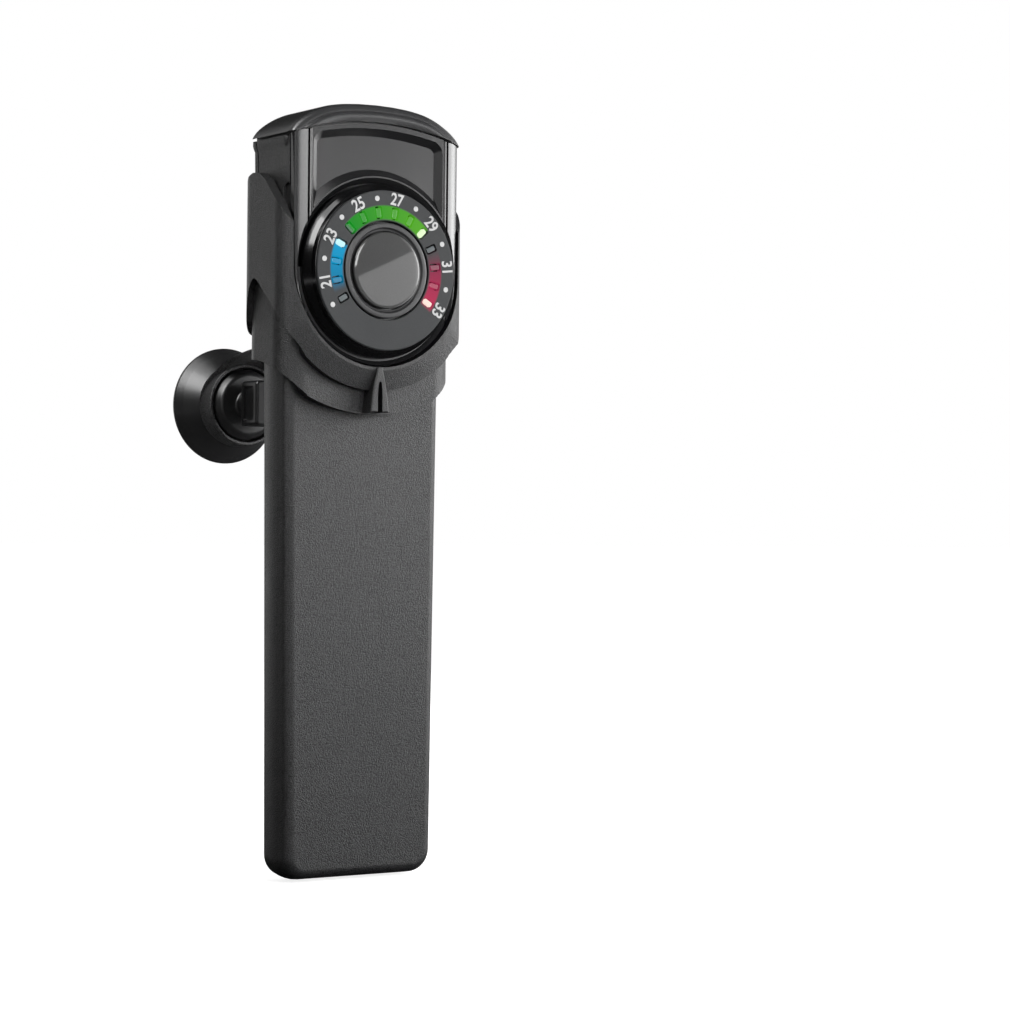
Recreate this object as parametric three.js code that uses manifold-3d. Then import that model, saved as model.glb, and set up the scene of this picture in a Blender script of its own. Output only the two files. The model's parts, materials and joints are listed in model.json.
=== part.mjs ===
// Submersible aquarium heater: a flat heating blade below a control head with a round
// dial, held in a hanger collar by a rubber suction cup.
//
// Millimetres, +Z up, the dial faces -Y and the glass wall lies at +Y. The pieces are
// drawn with z = 0 at the blade's tip and y = 0 in the blade's middle plane, and the
// whole group is then moved so that its origin is the centre of the suction cup's rim.

import * as THREE from 'three';
import { mergeVertices } from 'three/addons/utils/BufferGeometryUtils.js';
import Module from 'manifold-3d';

const wasm = await Module();
wasm.setup();

// ---------------------------------------------------------------- clearances
const GAP = 0.3; // between a piece and its seat
const SLIDE_GAP = 0.4; // between the heater and the collar it slides in
const OVERRUN = 2; // how far a cutter passes the face that it cuts

// ---------------------------------------------------------- heating blade
const BLADE_THICKNESS = 9.0;
const BLADE_LENGTH = 88.5; // from the tip to the round underside of the head
const BLADE_SHOULDER = 0.25; // how far the head's waist stands past each side of the blade
const BLADE_TAPER = 1.8; // how much narrower the blade is at its tip
const BLADE_TIP_CORNER = 4.2;
const BLADE_EDGE_RADIUS = 1.4;
const BLADE_WALL = 1.3;
const BLADE_COVER = 1.3; // thickness of the rear cover over the blade

// ------------------------------------------------------------ control head
const HEAD_DIAL_MARGIN = 1.1; // from the dial's bezel to the head's round underside
const HEAD_FLARE = 0.8; // how much wider the head is at its top than across the dial
const HEAD_RISE = 25.0; // from the dial's centre to the top of the arched crown
const HEAD_CROWN_RADIUS = 53.7;
const HEAD_FRONT_STEP = 4.2; // how far the head stands before the blade
const HEAD_BACK_STEP = 1.8; // and behind it
const HEAD_EDGE_RADIUS = 1.0;
const HEAD_WALL = 1.3;
const HEAD_COVER = 2.0; // depth of the rear cover on the head
const FASCIA_DEPTH = 1.8;
const RECESS_DEPTH = 1.0;
const RECESS_SIDE_MARGIN = 4.5;
const RECESS_TOP_MARGIN = 1.2;
const RECESS_RING = 2.2; // width of the rim left standing round the dial bezel

// ----------------------------------------------------------------- top cap
const CAP_GAP = 0.6;
const CAP_RISE = 3.2; // from the cap's underside to its ridge, at the middle
const CAP_RADIUS = 38.5;
const CAP_SIDE_OVERHANG = 0.9;
const CAP_LIP = 0.4; // overhang at the front and the back
const CAP_EDGE_RADIUS = 1.2;
const CAP_PLUG_DEPTH = 3.6;
const CAP_SEAL_SIZE = 1.0;

// -------------------------------------------------------------------- dial
const BEZEL_BORDER = 1.3; // how far the bezel shows round the dial plate
const BEZEL_RISE = 1.4; // how far the bezel stands before the head
const BEZEL_CHAMFER = 1.1;
const BEZEL_WALL = 0.9;
const BEZEL_SPIGOT_INSET = 0.8; // how far the bezel's spigot lies inside the plate's edge
const PLATE_THICKNESS = 1.0;
const PLATE_FIGURE_BAND = 2.7; // for the figures, from the windows to the plate's edge
const PLATE_WINDOW_LAND = 0.3; // left between the windows and the hole for the button
const GUIDE_THICKNESS = 1.8;
const LED_COUNT = 14;
const LED_FIRST_DEGREES = 20; // the temperature of the first lamp
const LED_STEP = THREE.MathUtils.degToRad(18.63);
const LED_SIZE = { radial: 1.6, tangent: 0.8, height: 0.7 };
const WINDOW_RADIAL = 2.2;
const WINDOW_TANGENT = 1.4;
const WINDOW_GAP = 0.25;
const BOARD_THICKNESS = 1.6;

// ------------------------------------------------------------- push button
const BUTTON_RADIUS = 6.4;
const BUTTON_PROUD = 0.4; // how far the button stands before the dial plate
const BUTTON_HEIGHT = 1.6;
const BUTTON_FLANGE = 0.6; // width and thickness of the flange under the seal
const BUTTON_TRAVEL = 0.6;
const BUTTON_STEM_RADIUS = 1.5;
const BUTTON_STEM_LENGTH = 0.2;
const SEAL_WIDTH = 1.5;
const SEAL_THICKNESS = 1.0;
const PLUNGER_RADIUS = 0.9;
const SWITCH_SIZE = 4.5;
const SWITCH_HEIGHT = 1.4;

// ----------------------------------------------------------- hanger collar
const COLLAR_WALL = 1.4;
const RING_WIDTH = 4.0;
const RING_PROUD = 0.6; // how far the ring stands before the head
const RING_SLOPE = 1.3; // how far the ring falls back across its width
const BAND_WIDTH = 4.0;
const BAND_INSET = 1.1;
const BAND_SETBACK = 2.5; // how far the band lies behind the ring's front
const COLLAR_CORNER = 3.0;
const WING_RISE = 16.7; // from the dial's centre to the wing's tip
const WING_TIP_Y = 2.9;
const GLAND_NOTCH_MARGIN = 3.0; // room left in the collar's back edge round the gland
const TONGUE_WIDTH = 3.6;
const TONGUE_TIP_WIDTH = 1.0;
const TONGUE_PROUD = 0.5;
const TONGUE_SLOT = 0.9;

// ---------------------------------------------------- hanger arm and cup
const CUP_AXIS_DROP = 21.5; // from the dial's centre down to the cup's
const CUP_STANDOFF = 46.5; // from the blade's middle plane to the glass
const CUP_RADIUS = 10.8;
const CUP_SKIRT_DEPTH = 4.2;
const CUP_HOLLOW_DEPTH = 2.6;
const CUP_LIP = 0.9;
const CUP_SHOULDER_STEP = 2.6; // how far the skirt's shoulder stands out from the neck
const CUP_NECK_RADIUS = 4.6;
const BEAD_STEP = 2.8; // how far the bead stands out from the neck
const BEAD_THICKNESS = 2.9;
const STEM_NECK_RADIUS = 2.6;
const STEM_NECK_LENGTH = 2.3;
const STEM_BLOCK = { width: 6.0, height: 8.3, length: 5.9, corner: 0.8 };
const ARM_RING_THICKNESS = 2.0;
const HOOD_CLEARANCE = 1.0; // between the bead's edge and the hood
const HOOD_WALL = 1.2;
const HOOD_HALF_ANGLE = THREE.MathUtils.degToRad(35);
const ARM_PAD = { width: 16, height: 8, thickness: 1.6 };

// ------------------------------------------------------------ inner pieces
const ELEMENT = { thickness: 1.6, tipMargin: 12, headMargin: 14.5, sideMargin: 2.95 };
const MICA = { margin: 1.0, thickness: 0.4 };
const LEAD_RADIUS = 0.5;
const LEAD_X = 8;
const BOARD_FOOT = 4; // the control board's foot above the head's round underside
const THERMAL_FUSE = { radius: 1.5, length: 8, above: 5 }; // above the element's top
const SENSOR = { width: 3, height: 5, thickness: 2 };
const SCREW = { inset: 5.2, belowCrown: 10.6, shank: 0.9, head: 1.9, headHeight: 1.2 };
const BOSS_RADIUS = 2.2;
const GLAND = {
  belowCrown: 8.6, neck: 2.6, lip: 0.8, lipDepth: 1.2, flange: 4.2, flangeDepth: 1.6,
  tip: 3.0, length: 8.0, bore: 1.9,
};
const TERMINAL = { width: 8, height: 4.1, belowGland: 3.8 };
const TRIAC = { width: 10, height: 13 };
const CAPACITOR = { width: 10, height: 13 };
const CONTROLLER = { size: 7, thickness: 1.2 };
const HEADER = { width: 10, height: 2.2, drop: 6.4 }; // its middle below the dial's centre
const CHIP_SPACING = 0.5;

// ---------------------------------------------------- sizes that follow
const SEAL_INNER = BUTTON_RADIUS + GAP;
const SEAL_OUTER = SEAL_INNER + SEAL_WIDTH;
const LED_CIRCLE = SEAL_OUTER + GAP + PLATE_WINDOW_LAND + WINDOW_RADIAL / 2;
const PLATE_RADIUS = LED_CIRCLE + WINDOW_RADIAL / 2 + PLATE_FIGURE_BAND;
const BEZEL_RADIUS = PLATE_RADIUS + BEZEL_BORDER;
const HEAD_RADIUS = BEZEL_RADIUS + HEAD_DIAL_MARGIN; // of the head's round underside
const HEAD_TOP_HALF = HEAD_RADIUS + HEAD_FLARE / 2;
const BLADE_NECK_HALF = HEAD_RADIUS - BLADE_SHOULDER;
const BLADE_TIP_HALF = BLADE_NECK_HALF - BLADE_TAPER / 2;
const DIAL_Z = BLADE_LENGTH + HEAD_RADIUS;
const CROWN_Z = DIAL_Z + HEAD_RISE;
const BLADE_FRONT = -BLADE_THICKNESS / 2;
const BLADE_BACK = BLADE_THICKNESS / 2;
const HEAD_FRONT = BLADE_FRONT - HEAD_FRONT_STEP;
const HEAD_BACK = BLADE_BACK + HEAD_BACK_STEP;
const RECESS_HALF_WIDTH = HEAD_TOP_HALF - RECESS_SIDE_MARGIN;
const BLADE_SEAM = BLADE_BACK - BLADE_COVER; // front face of the cover behind the blade
const HEAD_SEAM = HEAD_BACK - HEAD_COVER;
const SHELL_FRONT = HEAD_FRONT + FASCIA_DEPTH + GAP;
const CAVITY_FRONT = SHELL_FRONT + HEAD_WALL;
const CAVITY_BACK = HEAD_BACK - HEAD_WALL;
const BEZEL_FRONT = HEAD_FRONT - BEZEL_RISE;
const PLATE_BACK = BEZEL_FRONT - GAP;
const PLATE_FRONT = PLATE_BACK - PLATE_THICKNESS;
const GUIDE_BACK = BEZEL_FRONT + GUIDE_THICKNESS;
const LED_BACK = GUIDE_BACK + GAP + LED_SIZE.height;
const INDICATOR_FRONT = LED_BACK + GAP;
const INDICATOR_BACK = INDICATOR_FRONT + BOARD_THICKNESS;
const SPIGOT_RADIUS = PLATE_RADIUS - BEZEL_SPIGOT_INSET;
const SPIGOT_BORE = SPIGOT_RADIUS - BEZEL_WALL;
const GUIDE_RADIUS = SPIGOT_BORE + GAP;
const GUIDE_BORE = BUTTON_RADIUS + BUTTON_FLANGE + 2 * GAP;
const BUTTON_FRONT = PLATE_FRONT - BUTTON_PROUD;
const BUTTON_BACK = BUTTON_FRONT + BUTTON_HEIGHT;
const SWITCH_FRONT = INDICATOR_FRONT - SWITCH_HEIGHT;
const CONTROL_FRONT = -BOARD_THICKNESS;
const CONTROL_BACK = 0;
const COLLAR_HALF_WIDTH = HEAD_TOP_HALF + SLIDE_GAP + COLLAR_WALL;
const COLLAR_BACK = HEAD_BACK + SLIDE_GAP + COLLAR_WALL;
const RING_INNER = HEAD_RADIUS + SLIDE_GAP;
const RING_OUTER = RING_INNER + RING_WIDTH;
const RING_FRONT = HEAD_FRONT - RING_PROUD;
const BAND_OUTER = RING_OUTER + BAND_WIDTH;
const BAND_FRONT = RING_FRONT + BAND_SETBACK;
const CUP_AXIS_HEIGHT = DIAL_Z - CUP_AXIS_DROP;
const CUP_SHOULDER_RADIUS = CUP_NECK_RADIUS + CUP_SHOULDER_STEP;
const BEAD_RADIUS = CUP_NECK_RADIUS + BEAD_STEP;
const CUP_SHOULDER = CUP_STANDOFF - CUP_SKIRT_DEPTH;
const ARM_RING_BACK = CUP_SHOULDER - GAP;
const ARM_RING_FRONT = ARM_RING_BACK - ARM_RING_THICKNESS;
const BEAD_BACK = ARM_RING_FRONT - GAP;
const BEAD_FRONT = BEAD_BACK - BEAD_THICKNESS;
const STEM_BACK = BEAD_FRONT - STEM_NECK_LENGTH;
const HOOD_INNER = BEAD_RADIUS + HOOD_CLEARANCE;
const SCREW_X = HEAD_TOP_HALF - SCREW.inset;
const SCREW_Z = CROWN_Z - SCREW.belowCrown;
const GLAND_Z = CROWN_Z - GLAND.belowCrown;

// ------------------------------------------------------------- finishes
const finish = (color, roughness, metalness = 0) =>
  new THREE.MeshStandardMaterial({ color, roughness, metalness });
const GRAINED = finish(0x3b3b3c, 0.62);
const GLOSS = finish(0x141415, 0.18);
const SATIN = finish(0x4b4b4c, 0.42);
const RUBBER = finish(0x161617, 0.5);
const CLEAR = finish(0xd8e6e4, 0.15);
const LAMP = finish(0xf2f0dc, 0.3);
const BOARD = finish(0x1f5a38, 0.5);
const CHIP = finish(0x1c1c1e, 0.45);
const MICA_SHEET = finish(0xb9a877, 0.4);
const CERAMIC = finish(0xd9d4c8, 0.7);
const ALLOY = finish(0xb4b7ba, 0.35, 0.9);
const STEEL = finish(0xa9abae, 0.3, 1.0);
const COPPER_LEAD = finish(0xb5402f, 0.5);

// -------------------------------------------------------- solid helpers

/** Turns a closed geometry into a solid that can be joined and cut. */
function solidOf(geometry) {
  const bare = geometry.clone();
  bare.deleteAttribute('normal');
  bare.deleteAttribute('uv');
  const merged = mergeVertices(bare, 1e-4);
  const corners = merged.index.array;
  const kept = [];
  for (let i = 0; i < corners.length; i += 3) {
    const [a, b, c] = [corners[i], corners[i + 1], corners[i + 2]];
    if (a !== b && b !== c && c !== a) kept.push(a, b, c);
  }
  return new wasm.Manifold(new wasm.Mesh({
    numProp: 3,
    vertProperties: new Float32Array(merged.attributes.position.array),
    triVerts: new Uint32Array(kept),
  }));
}

/** Turns a solid back into a geometry. */
function geometryOf(solid) {
  const mesh = solid.getMesh();
  const geometry = new THREE.BufferGeometry();
  geometry.setAttribute('position', new THREE.BufferAttribute(mesh.vertProperties, 3));
  geometry.setIndex(new THREE.BufferAttribute(mesh.triVerts, 1));
  geometry.computeVertexNormals();
  return geometry;
}

/** The same shape as straight steps, without the near-doubled points where its curves meet. */
function stepped(shape, segments) {
  const distinct = (points) => points.filter(
    (point, i) => point.distanceTo(points[(i + 1) % points.length]) > 1e-4);
  const outline = new THREE.Shape(distinct(shape.getPoints(segments)));
  outline.holes = shape.holes.map((hole) => new THREE.Path(distinct(hole.getPoints(segments))));
  return outline;
}

/** A shape drawn in x and z, made solid from y = front to y = back, edges rounded by bevel. */
function slab(shape, front, back, { bevel = 0, segments = 12 } = {}) {
  const geometry = new THREE.ExtrudeGeometry(stepped(shape, segments), {
    depth: back - front - 2 * bevel,
    bevelEnabled: bevel > 0,
    bevelThickness: bevel,
    bevelSize: bevel,
    bevelOffset: -bevel,
    bevelSegments: 2,
  });
  const axes = new THREE.Matrix4().makeBasis(
    new THREE.Vector3(1, 0, 0), new THREE.Vector3(0, 0, 1), new THREE.Vector3(0, -1, 0));
  return geometry.applyMatrix4(axes).translate(0, back - bevel, 0);
}

/** A box between two corners. */
function block([x0, y0, z0], [x1, y1, z1]) {
  return new THREE.BoxGeometry(x1 - x0, y1 - y0, z1 - z0)
    .translate((x0 + x1) / 2, (y0 + y1) / 2, (z0 + z1) / 2);
}

/** A round bar along y. */
function rod(radius, front, back, x, z, sides = 24) {
  return new THREE.CylinderGeometry(radius, radius, back - front, sides)
    .translate(x, (front + back) / 2, z);
}

/** A profile of [radius, y] pairs spun round the line x = 0, z = height. */
function spun(profile, height, sides = 40) {
  const points = profile.map(([radius, y]) => new THREE.Vector2(radius, y));
  return new THREE.LatheGeometry(points, sides).translate(0, 0, height);
}

/** A rectangle with round corners, as a shape. */
function roundedRectangle(halfWidth, low, high, corner) {
  const shape = new THREE.Shape();
  shape.moveTo(-halfWidth + corner, low);
  shape.lineTo(halfWidth - corner, low);
  shape.quadraticCurveTo(halfWidth, low, halfWidth, low + corner);
  shape.lineTo(halfWidth, high - corner);
  shape.quadraticCurveTo(halfWidth, high, halfWidth - corner, high);
  shape.lineTo(-halfWidth + corner, high);
  shape.quadraticCurveTo(-halfWidth, high, -halfWidth, high - corner);
  shape.lineTo(-halfWidth, low + corner);
  shape.quadraticCurveTo(-halfWidth, low, -halfWidth + corner, low);
  return shape;
}

/** A ring or a disc about the dial's centre or another height, as a shape. */
function annulus(outer, inner, height = DIAL_Z) {
  const shape = new THREE.Shape();
  shape.absarc(0, height, outer, 0, 2 * Math.PI);
  if (inner > 0) shape.holes.push(new THREE.Path().absarc(0, height, inner, 0, 2 * Math.PI, true));
  return shape;
}

/** A plan view in x and y with round corners, made solid from z = low to z = high. */
function column(halfWidth, front, back, corner, low, high) {
  const plan = stepped(roundedRectangle(halfWidth, front, back, corner), 4);
  return new THREE.ExtrudeGeometry(plan, { depth: high - low, bevelEnabled: false })
    .translate(0, 0, low);
}

// ------------------------------------------------------- heater outlines

/** Height of an arch of the given peak and radius at a distance x from the middle. */
const archHeight = (x, peak, radius) => peak - radius + Math.sqrt(radius * radius - x * x);

/** Half the blade's width at a height, which keeps widening inside the head. */
const bladeHalfWidth = (z) =>
  BLADE_TIP_HALF + (BLADE_NECK_HALF - BLADE_TIP_HALF) * (z / BLADE_LENGTH);

/** The blade's front view, grown by a margin, from a bottom height to a top height. */
function bladeShape(margin, top, bottom = -margin) {
  const corner = Math.max(BLADE_TIP_CORNER + margin, 0.5);
  const low = bladeHalfWidth(bottom) + margin;
  const high = bladeHalfWidth(top) + margin;
  const shape = new THREE.Shape();
  shape.moveTo(-low + corner, bottom);
  shape.lineTo(low - corner, bottom);
  shape.quadraticCurveTo(low, bottom, low, bottom + corner);
  shape.lineTo(high, top);
  shape.lineTo(-high, top);
  shape.lineTo(-low, bottom + corner);
  shape.quadraticCurveTo(-low, bottom, -low + corner, bottom);
  return shape;
}

/** The head's front view, grown by a margin: a round underside, sides and an arched crown. */
function headShape(margin, crown = CROWN_Z + margin) {
  const radius = HEAD_RADIUS + margin;
  const half = HEAD_TOP_HALF + margin;
  const crownRadius = HEAD_CROWN_RADIUS + margin;
  const lean = Math.asin(half / crownRadius);
  const shape = new THREE.Shape();
  shape.absarc(0, DIAL_Z, radius, Math.PI, 2 * Math.PI);
  shape.lineTo(half, archHeight(half, crown, crownRadius));
  shape.absarc(0, crown - crownRadius, crownRadius, Math.PI / 2 - lean, Math.PI / 2 + lean);
  shape.closePath();
  return shape;
}

const bladeTop = DIAL_Z; // the blade's form ends inside the head
const bladeForm = solidOf(slab(bladeShape(0, bladeTop), BLADE_FRONT, BLADE_BACK,
  { bevel: BLADE_EDGE_RADIUS, segments: 6 }));
const headForm = solidOf(slab(headShape(0), HEAD_FRONT, HEAD_BACK, { bevel: HEAD_EDGE_RADIUS }));

/** A block that holds everything between two y values. */
const layer = (front, back) => solidOf(block([-60, front, -60], [60, back, 200]));

// ----------------------------------------------------------- heater casing

function frontShell() {
  const coverRoom = solidOf(slab(bladeShape(GAP, bladeTop + GAP), BLADE_SEAM - GAP, HEAD_BACK + OVERRUN));
  const outside = bladeForm.intersect(layer(BLADE_FRONT - OVERRUN, BLADE_SEAM - GAP))
    .add(headForm.intersect(layer(SHELL_FRONT, HEAD_SEAM - GAP)).subtract(coverRoom));
  const bladeRoom = solidOf(slab(bladeShape(-BLADE_WALL, bladeTop, BLADE_WALL),
    BLADE_FRONT + BLADE_WALL, BLADE_BACK));
  const headRoom = solidOf(slab(headShape(-HEAD_WALL, CROWN_Z + OVERRUN), CAVITY_FRONT, HEAD_BACK));
  const dialHole = solidOf(rod(SPIGOT_RADIUS + GAP, HEAD_FRONT, CAVITY_FRONT + OVERRUN, 0, DIAL_Z, 40));
  let shell = outside.subtract(bladeRoom).subtract(headRoom).subtract(dialHole);
  for (const side of [-1, 1]) {
    const x = side * SCREW_X;
    const boss = solidOf(rod(BOSS_RADIUS, CAVITY_FRONT - GAP, CONTROL_FRONT - GAP, x, SCREW_Z, 16));
    const bore = solidOf(rod(SCREW.shank + GAP, CAVITY_FRONT, CONTROL_FRONT + OVERRUN, x, SCREW_Z, 12));
    shell = shell.add(boss).subtract(bore);
  }
  return geometryOf(shell);
}

function rearCover() {
  const overBlade = bladeForm.intersect(layer(BLADE_SEAM, BLADE_BACK + OVERRUN));
  const overHead = headForm.intersect(layer(HEAD_SEAM, HEAD_BACK + OVERRUN));
  const pocket = solidOf(slab(headShape(-HEAD_WALL, CROWN_Z + OVERRUN), HEAD_SEAM - OVERRUN, CAVITY_BACK));
  const glandHole = solidOf(rod(GLAND.neck + GAP, HEAD_SEAM, HEAD_BACK + OVERRUN, 0, GLAND_Z));
  return geometryOf(overHead.subtract(pocket).add(overBlade.subtract(pocket)).subtract(glandHole));
}

/** The glossy front of the head, with its sunk panel above the dial. */
function headFascia() {
  const plate = headForm.intersect(layer(HEAD_FRONT - OVERRUN, HEAD_FRONT + FASCIA_DEPTH));
  const bezelHole = solidOf(rod(BEZEL_RADIUS + GAP, HEAD_FRONT - OVERRUN, SHELL_FRONT, 0, DIAL_Z, 40));
  const panelCrown = CROWN_Z - RECESS_TOP_MARGIN;
  const panel = new THREE.Shape();
  panel.moveTo(-RECESS_HALF_WIDTH, DIAL_Z);
  panel.lineTo(RECESS_HALF_WIDTH, DIAL_Z);
  panel.lineTo(RECESS_HALF_WIDTH, archHeight(RECESS_HALF_WIDTH, panelCrown, HEAD_CROWN_RADIUS));
  const lean = Math.asin(RECESS_HALF_WIDTH / HEAD_CROWN_RADIUS);
  panel.absarc(0, panelCrown - HEAD_CROWN_RADIUS, HEAD_CROWN_RADIUS,
    Math.PI / 2 - lean, Math.PI / 2 + lean);
  panel.closePath();
  const rim = solidOf(rod(BEZEL_RADIUS + GAP + RECESS_RING, HEAD_FRONT - 2 * OVERRUN, 0, 0, DIAL_Z, 40));
  const recess = solidOf(slab(panel, HEAD_FRONT - OVERRUN, HEAD_FRONT + RECESS_DEPTH)).subtract(rim);
  return geometryOf(plate.subtract(bezelHole).subtract(recess));
}

// The cap's plug fits between the front shell's front wall and the rear cover's back.
const capPlug = {
  half: HEAD_TOP_HALF - HEAD_WALL - 2 * GAP,
  front: CAVITY_FRONT + GAP,
  back: CAVITY_BACK - GAP,
  bottom: CROWN_Z - CAP_PLUG_DEPTH,
};
const coreBottom = capPlug.bottom - CAP_SEAL_SIZE - GAP; // the core that the seal runs round
const boardTop = coreBottom - 2 * GAP;
const boardFoot = BLADE_LENGTH + BOARD_FOOT;

/** Everything below the arch of the cap's underside, out past the cap's sides. */
function belowCap(half, under) {
  const lean = Math.asin((half + OVERRUN) / HEAD_CROWN_RADIUS);
  const shape = new THREE.Shape();
  shape.moveTo(-half - OVERRUN, DIAL_Z);
  shape.lineTo(half + OVERRUN, DIAL_Z);
  shape.absarc(0, under - HEAD_CROWN_RADIUS, HEAD_CROWN_RADIUS, Math.PI / 2 - lean, Math.PI / 2 + lean);
  return slab(shape, HEAD_FRONT - OVERRUN, HEAD_BACK + OVERRUN);
}

/** The arched cap, with the plug that closes the top of the casing. */
function topCap() {
  const under = CROWN_Z + CAP_GAP;
  const ridge = under + CAP_RISE;
  const half = HEAD_TOP_HALF + CAP_SIDE_OVERHANG;
  const foot = archHeight(half, under, HEAD_CROWN_RADIUS);
  const shoulder = half - 2;
  const lean = Math.asin(shoulder / CAP_RADIUS);
  const outline = new THREE.Shape();
  outline.moveTo(-half, foot - CAP_RISE);
  outline.lineTo(half, foot - CAP_RISE);
  outline.lineTo(half, foot);
  outline.quadraticCurveTo(half, foot + 2, shoulder, archHeight(shoulder, ridge, CAP_RADIUS));
  outline.absarc(0, ridge - CAP_RADIUS, CAP_RADIUS, Math.PI / 2 - lean, Math.PI / 2 + lean);
  outline.quadraticCurveTo(-half, foot + 2, -half, foot);
  const crown = solidOf(slab(outline, HEAD_FRONT - CAP_LIP, HEAD_BACK + CAP_LIP, { bevel: CAP_EDGE_RADIUS }))
    .subtract(solidOf(belowCap(half, under)));
  const plug = solidOf(column(capPlug.half, capPlug.front, capPlug.back, 1, capPlug.bottom, ridge))
    .intersect(solidOf(slab(headShape(-HEAD_WALL - GAP, under + 1), HEAD_FRONT, HEAD_BACK)));
  const core = solidOf(column(capPlug.half - CAP_SEAL_SIZE - GAP, capPlug.front + CAP_SEAL_SIZE + GAP,
    capPlug.back - CAP_SEAL_SIZE - GAP, 0.5, coreBottom, under));
  return geometryOf(crown.add(plug).add(core));
}

/** The rubber frame that runs round the cap's plug. */
function capSeal() {
  const { half, front, back, bottom } = capPlug;
  const low = bottom - GAP - CAP_SEAL_SIZE;
  const outside = solidOf(column(half, front, back, 1, low, bottom - GAP));
  const inside = solidOf(column(half - CAP_SEAL_SIZE, front + CAP_SEAL_SIZE, back - CAP_SEAL_SIZE,
    0.5, low - OVERRUN, bottom));
  return geometryOf(outside.subtract(inside));
}

// -------------------------------------------------------------------- dial

const ledAngles = Array.from({ length: LED_COUNT },
  (_, i) => Math.PI / 2 + ((LED_COUNT - 1) / 2 - i) * LED_STEP);

/** A radial rectangle on the lamp circle, as a list of corners. */
function windowCorners(angle, radial, tangent) {
  const along = [Math.cos(angle), Math.sin(angle)];
  const corners = [[-1, -1], [1, -1], [1, 1], [-1, 1]];
  return corners.map(([a, b]) => new THREE.Vector2(
    along[0] * (LED_CIRCLE + (a * radial) / 2) - (along[1] * b * tangent) / 2,
    DIAL_Z + along[1] * (LED_CIRCLE + (a * radial) / 2) + (along[0] * b * tangent) / 2));
}

/** The black ring that carries the dial plate and reaches through the shell. */
function dialBezel() {
  return spun([
    [SPIGOT_BORE, BEZEL_FRONT + GUIDE_THICKNESS], [GUIDE_RADIUS + GAP, BEZEL_FRONT + GUIDE_THICKNESS],
    [GUIDE_RADIUS + GAP, BEZEL_FRONT], [BEZEL_RADIUS - BEZEL_CHAMFER, BEZEL_FRONT],
    [BEZEL_RADIUS, BEZEL_FRONT + BEZEL_CHAMFER], [BEZEL_RADIUS, SHELL_FRONT - GAP],
    [SPIGOT_RADIUS, SHELL_FRONT - GAP], [SPIGOT_RADIUS, CAVITY_FRONT + GAP],
    [SPIGOT_BORE, CAVITY_FRONT + GAP], [SPIGOT_BORE, BEZEL_FRONT + GUIDE_THICKNESS],
  ], DIAL_Z);
}

function dialPlate() {
  const shape = annulus(PLATE_RADIUS, SEAL_OUTER + GAP);
  for (const angle of ledAngles) {
    shape.holes.push(new THREE.Path(windowCorners(angle, WINDOW_RADIAL, WINDOW_TANGENT)));
  }
  return slab(shape, PLATE_FRONT, PLATE_BACK, { segments: 20 });
}

/** The clear ring behind the dial plate, with a lens that fills each window. */
function lightGuide() {
  let guide = solidOf(slab(annulus(GUIDE_RADIUS - GAP, GUIDE_BORE), BEZEL_FRONT, GUIDE_BACK - GAP,
    { segments: 16 }));
  for (const angle of ledAngles) {
    const lens = new THREE.Shape(windowCorners(angle, WINDOW_RADIAL - 2 * WINDOW_GAP,
      WINDOW_TANGENT - 2 * WINDOW_GAP));
    guide = guide.add(solidOf(slab(lens, PLATE_FRONT + GAP, BEZEL_FRONT + GAP)));
  }
  return geometryOf(guide);
}

/** The button's cap, with the flange that the seal holds back and the stem behind it. */
function setButton() {
  const flangeBack = BUTTON_BACK + BUTTON_FLANGE;
  return spun([
    [0, BUTTON_FRONT], [BUTTON_RADIUS - 0.3, BUTTON_FRONT], [BUTTON_RADIUS, BUTTON_FRONT + 0.3],
    [BUTTON_RADIUS, BUTTON_BACK], [BUTTON_RADIUS + BUTTON_FLANGE, BUTTON_BACK],
    [BUTTON_RADIUS + BUTTON_FLANGE, flangeBack], [BUTTON_STEM_RADIUS, flangeBack],
    [BUTTON_STEM_RADIUS, flangeBack + BUTTON_STEM_LENGTH], [0, flangeBack + BUTTON_STEM_LENGTH],
  ], DIAL_Z);
}

/** The switch that the button works: a square case with a round way for the plunger. */
function tactSwitch() {
  const shape = roundedRectangle(SWITCH_SIZE / 2, DIAL_Z - SWITCH_SIZE / 2, DIAL_Z + SWITCH_SIZE / 2, 0.4);
  shape.holes.push(new THREE.Path().absarc(0, DIAL_Z, PLUNGER_RADIUS + GAP, 0, 2 * Math.PI, true));
  return slab(shape, SWITCH_FRONT, INDICATOR_FRONT, { segments: 8 });
}

// ------------------------------------------------------------------ boards

function controlBoard() {
  const edge = headShape(-HEAD_WALL - GAP);
  let board = solidOf(slab(edge, CONTROL_FRONT, CONTROL_BACK))
    .intersect(solidOf(block([-HEAD_TOP_HALF, CONTROL_FRONT - OVERRUN, boardFoot],
      [HEAD_TOP_HALF, CONTROL_BACK + OVERRUN, boardTop])));
  for (const side of [-1, 1]) {
    board = board.subtract(solidOf(rod(SCREW.shank + GAP, CONTROL_FRONT - OVERRUN, CONTROL_BACK + OVERRUN,
      side * SCREW_X, SCREW_Z, 12)));
  }
  return geometryOf(board);
}

function boardScrew(side) {
  const { shank, head, headHeight } = SCREW;
  return spun([
    [0, CAVITY_FRONT + GAP], [shank, CAVITY_FRONT + GAP], [shank, CONTROL_BACK + GAP],
    [head, CONTROL_BACK + GAP], [head, CONTROL_BACK + GAP + headHeight], [0, CONTROL_BACK + GAP + headHeight],
  ], SCREW_Z, 16).translate(side * SCREW_X, 0, 0);
}

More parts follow.
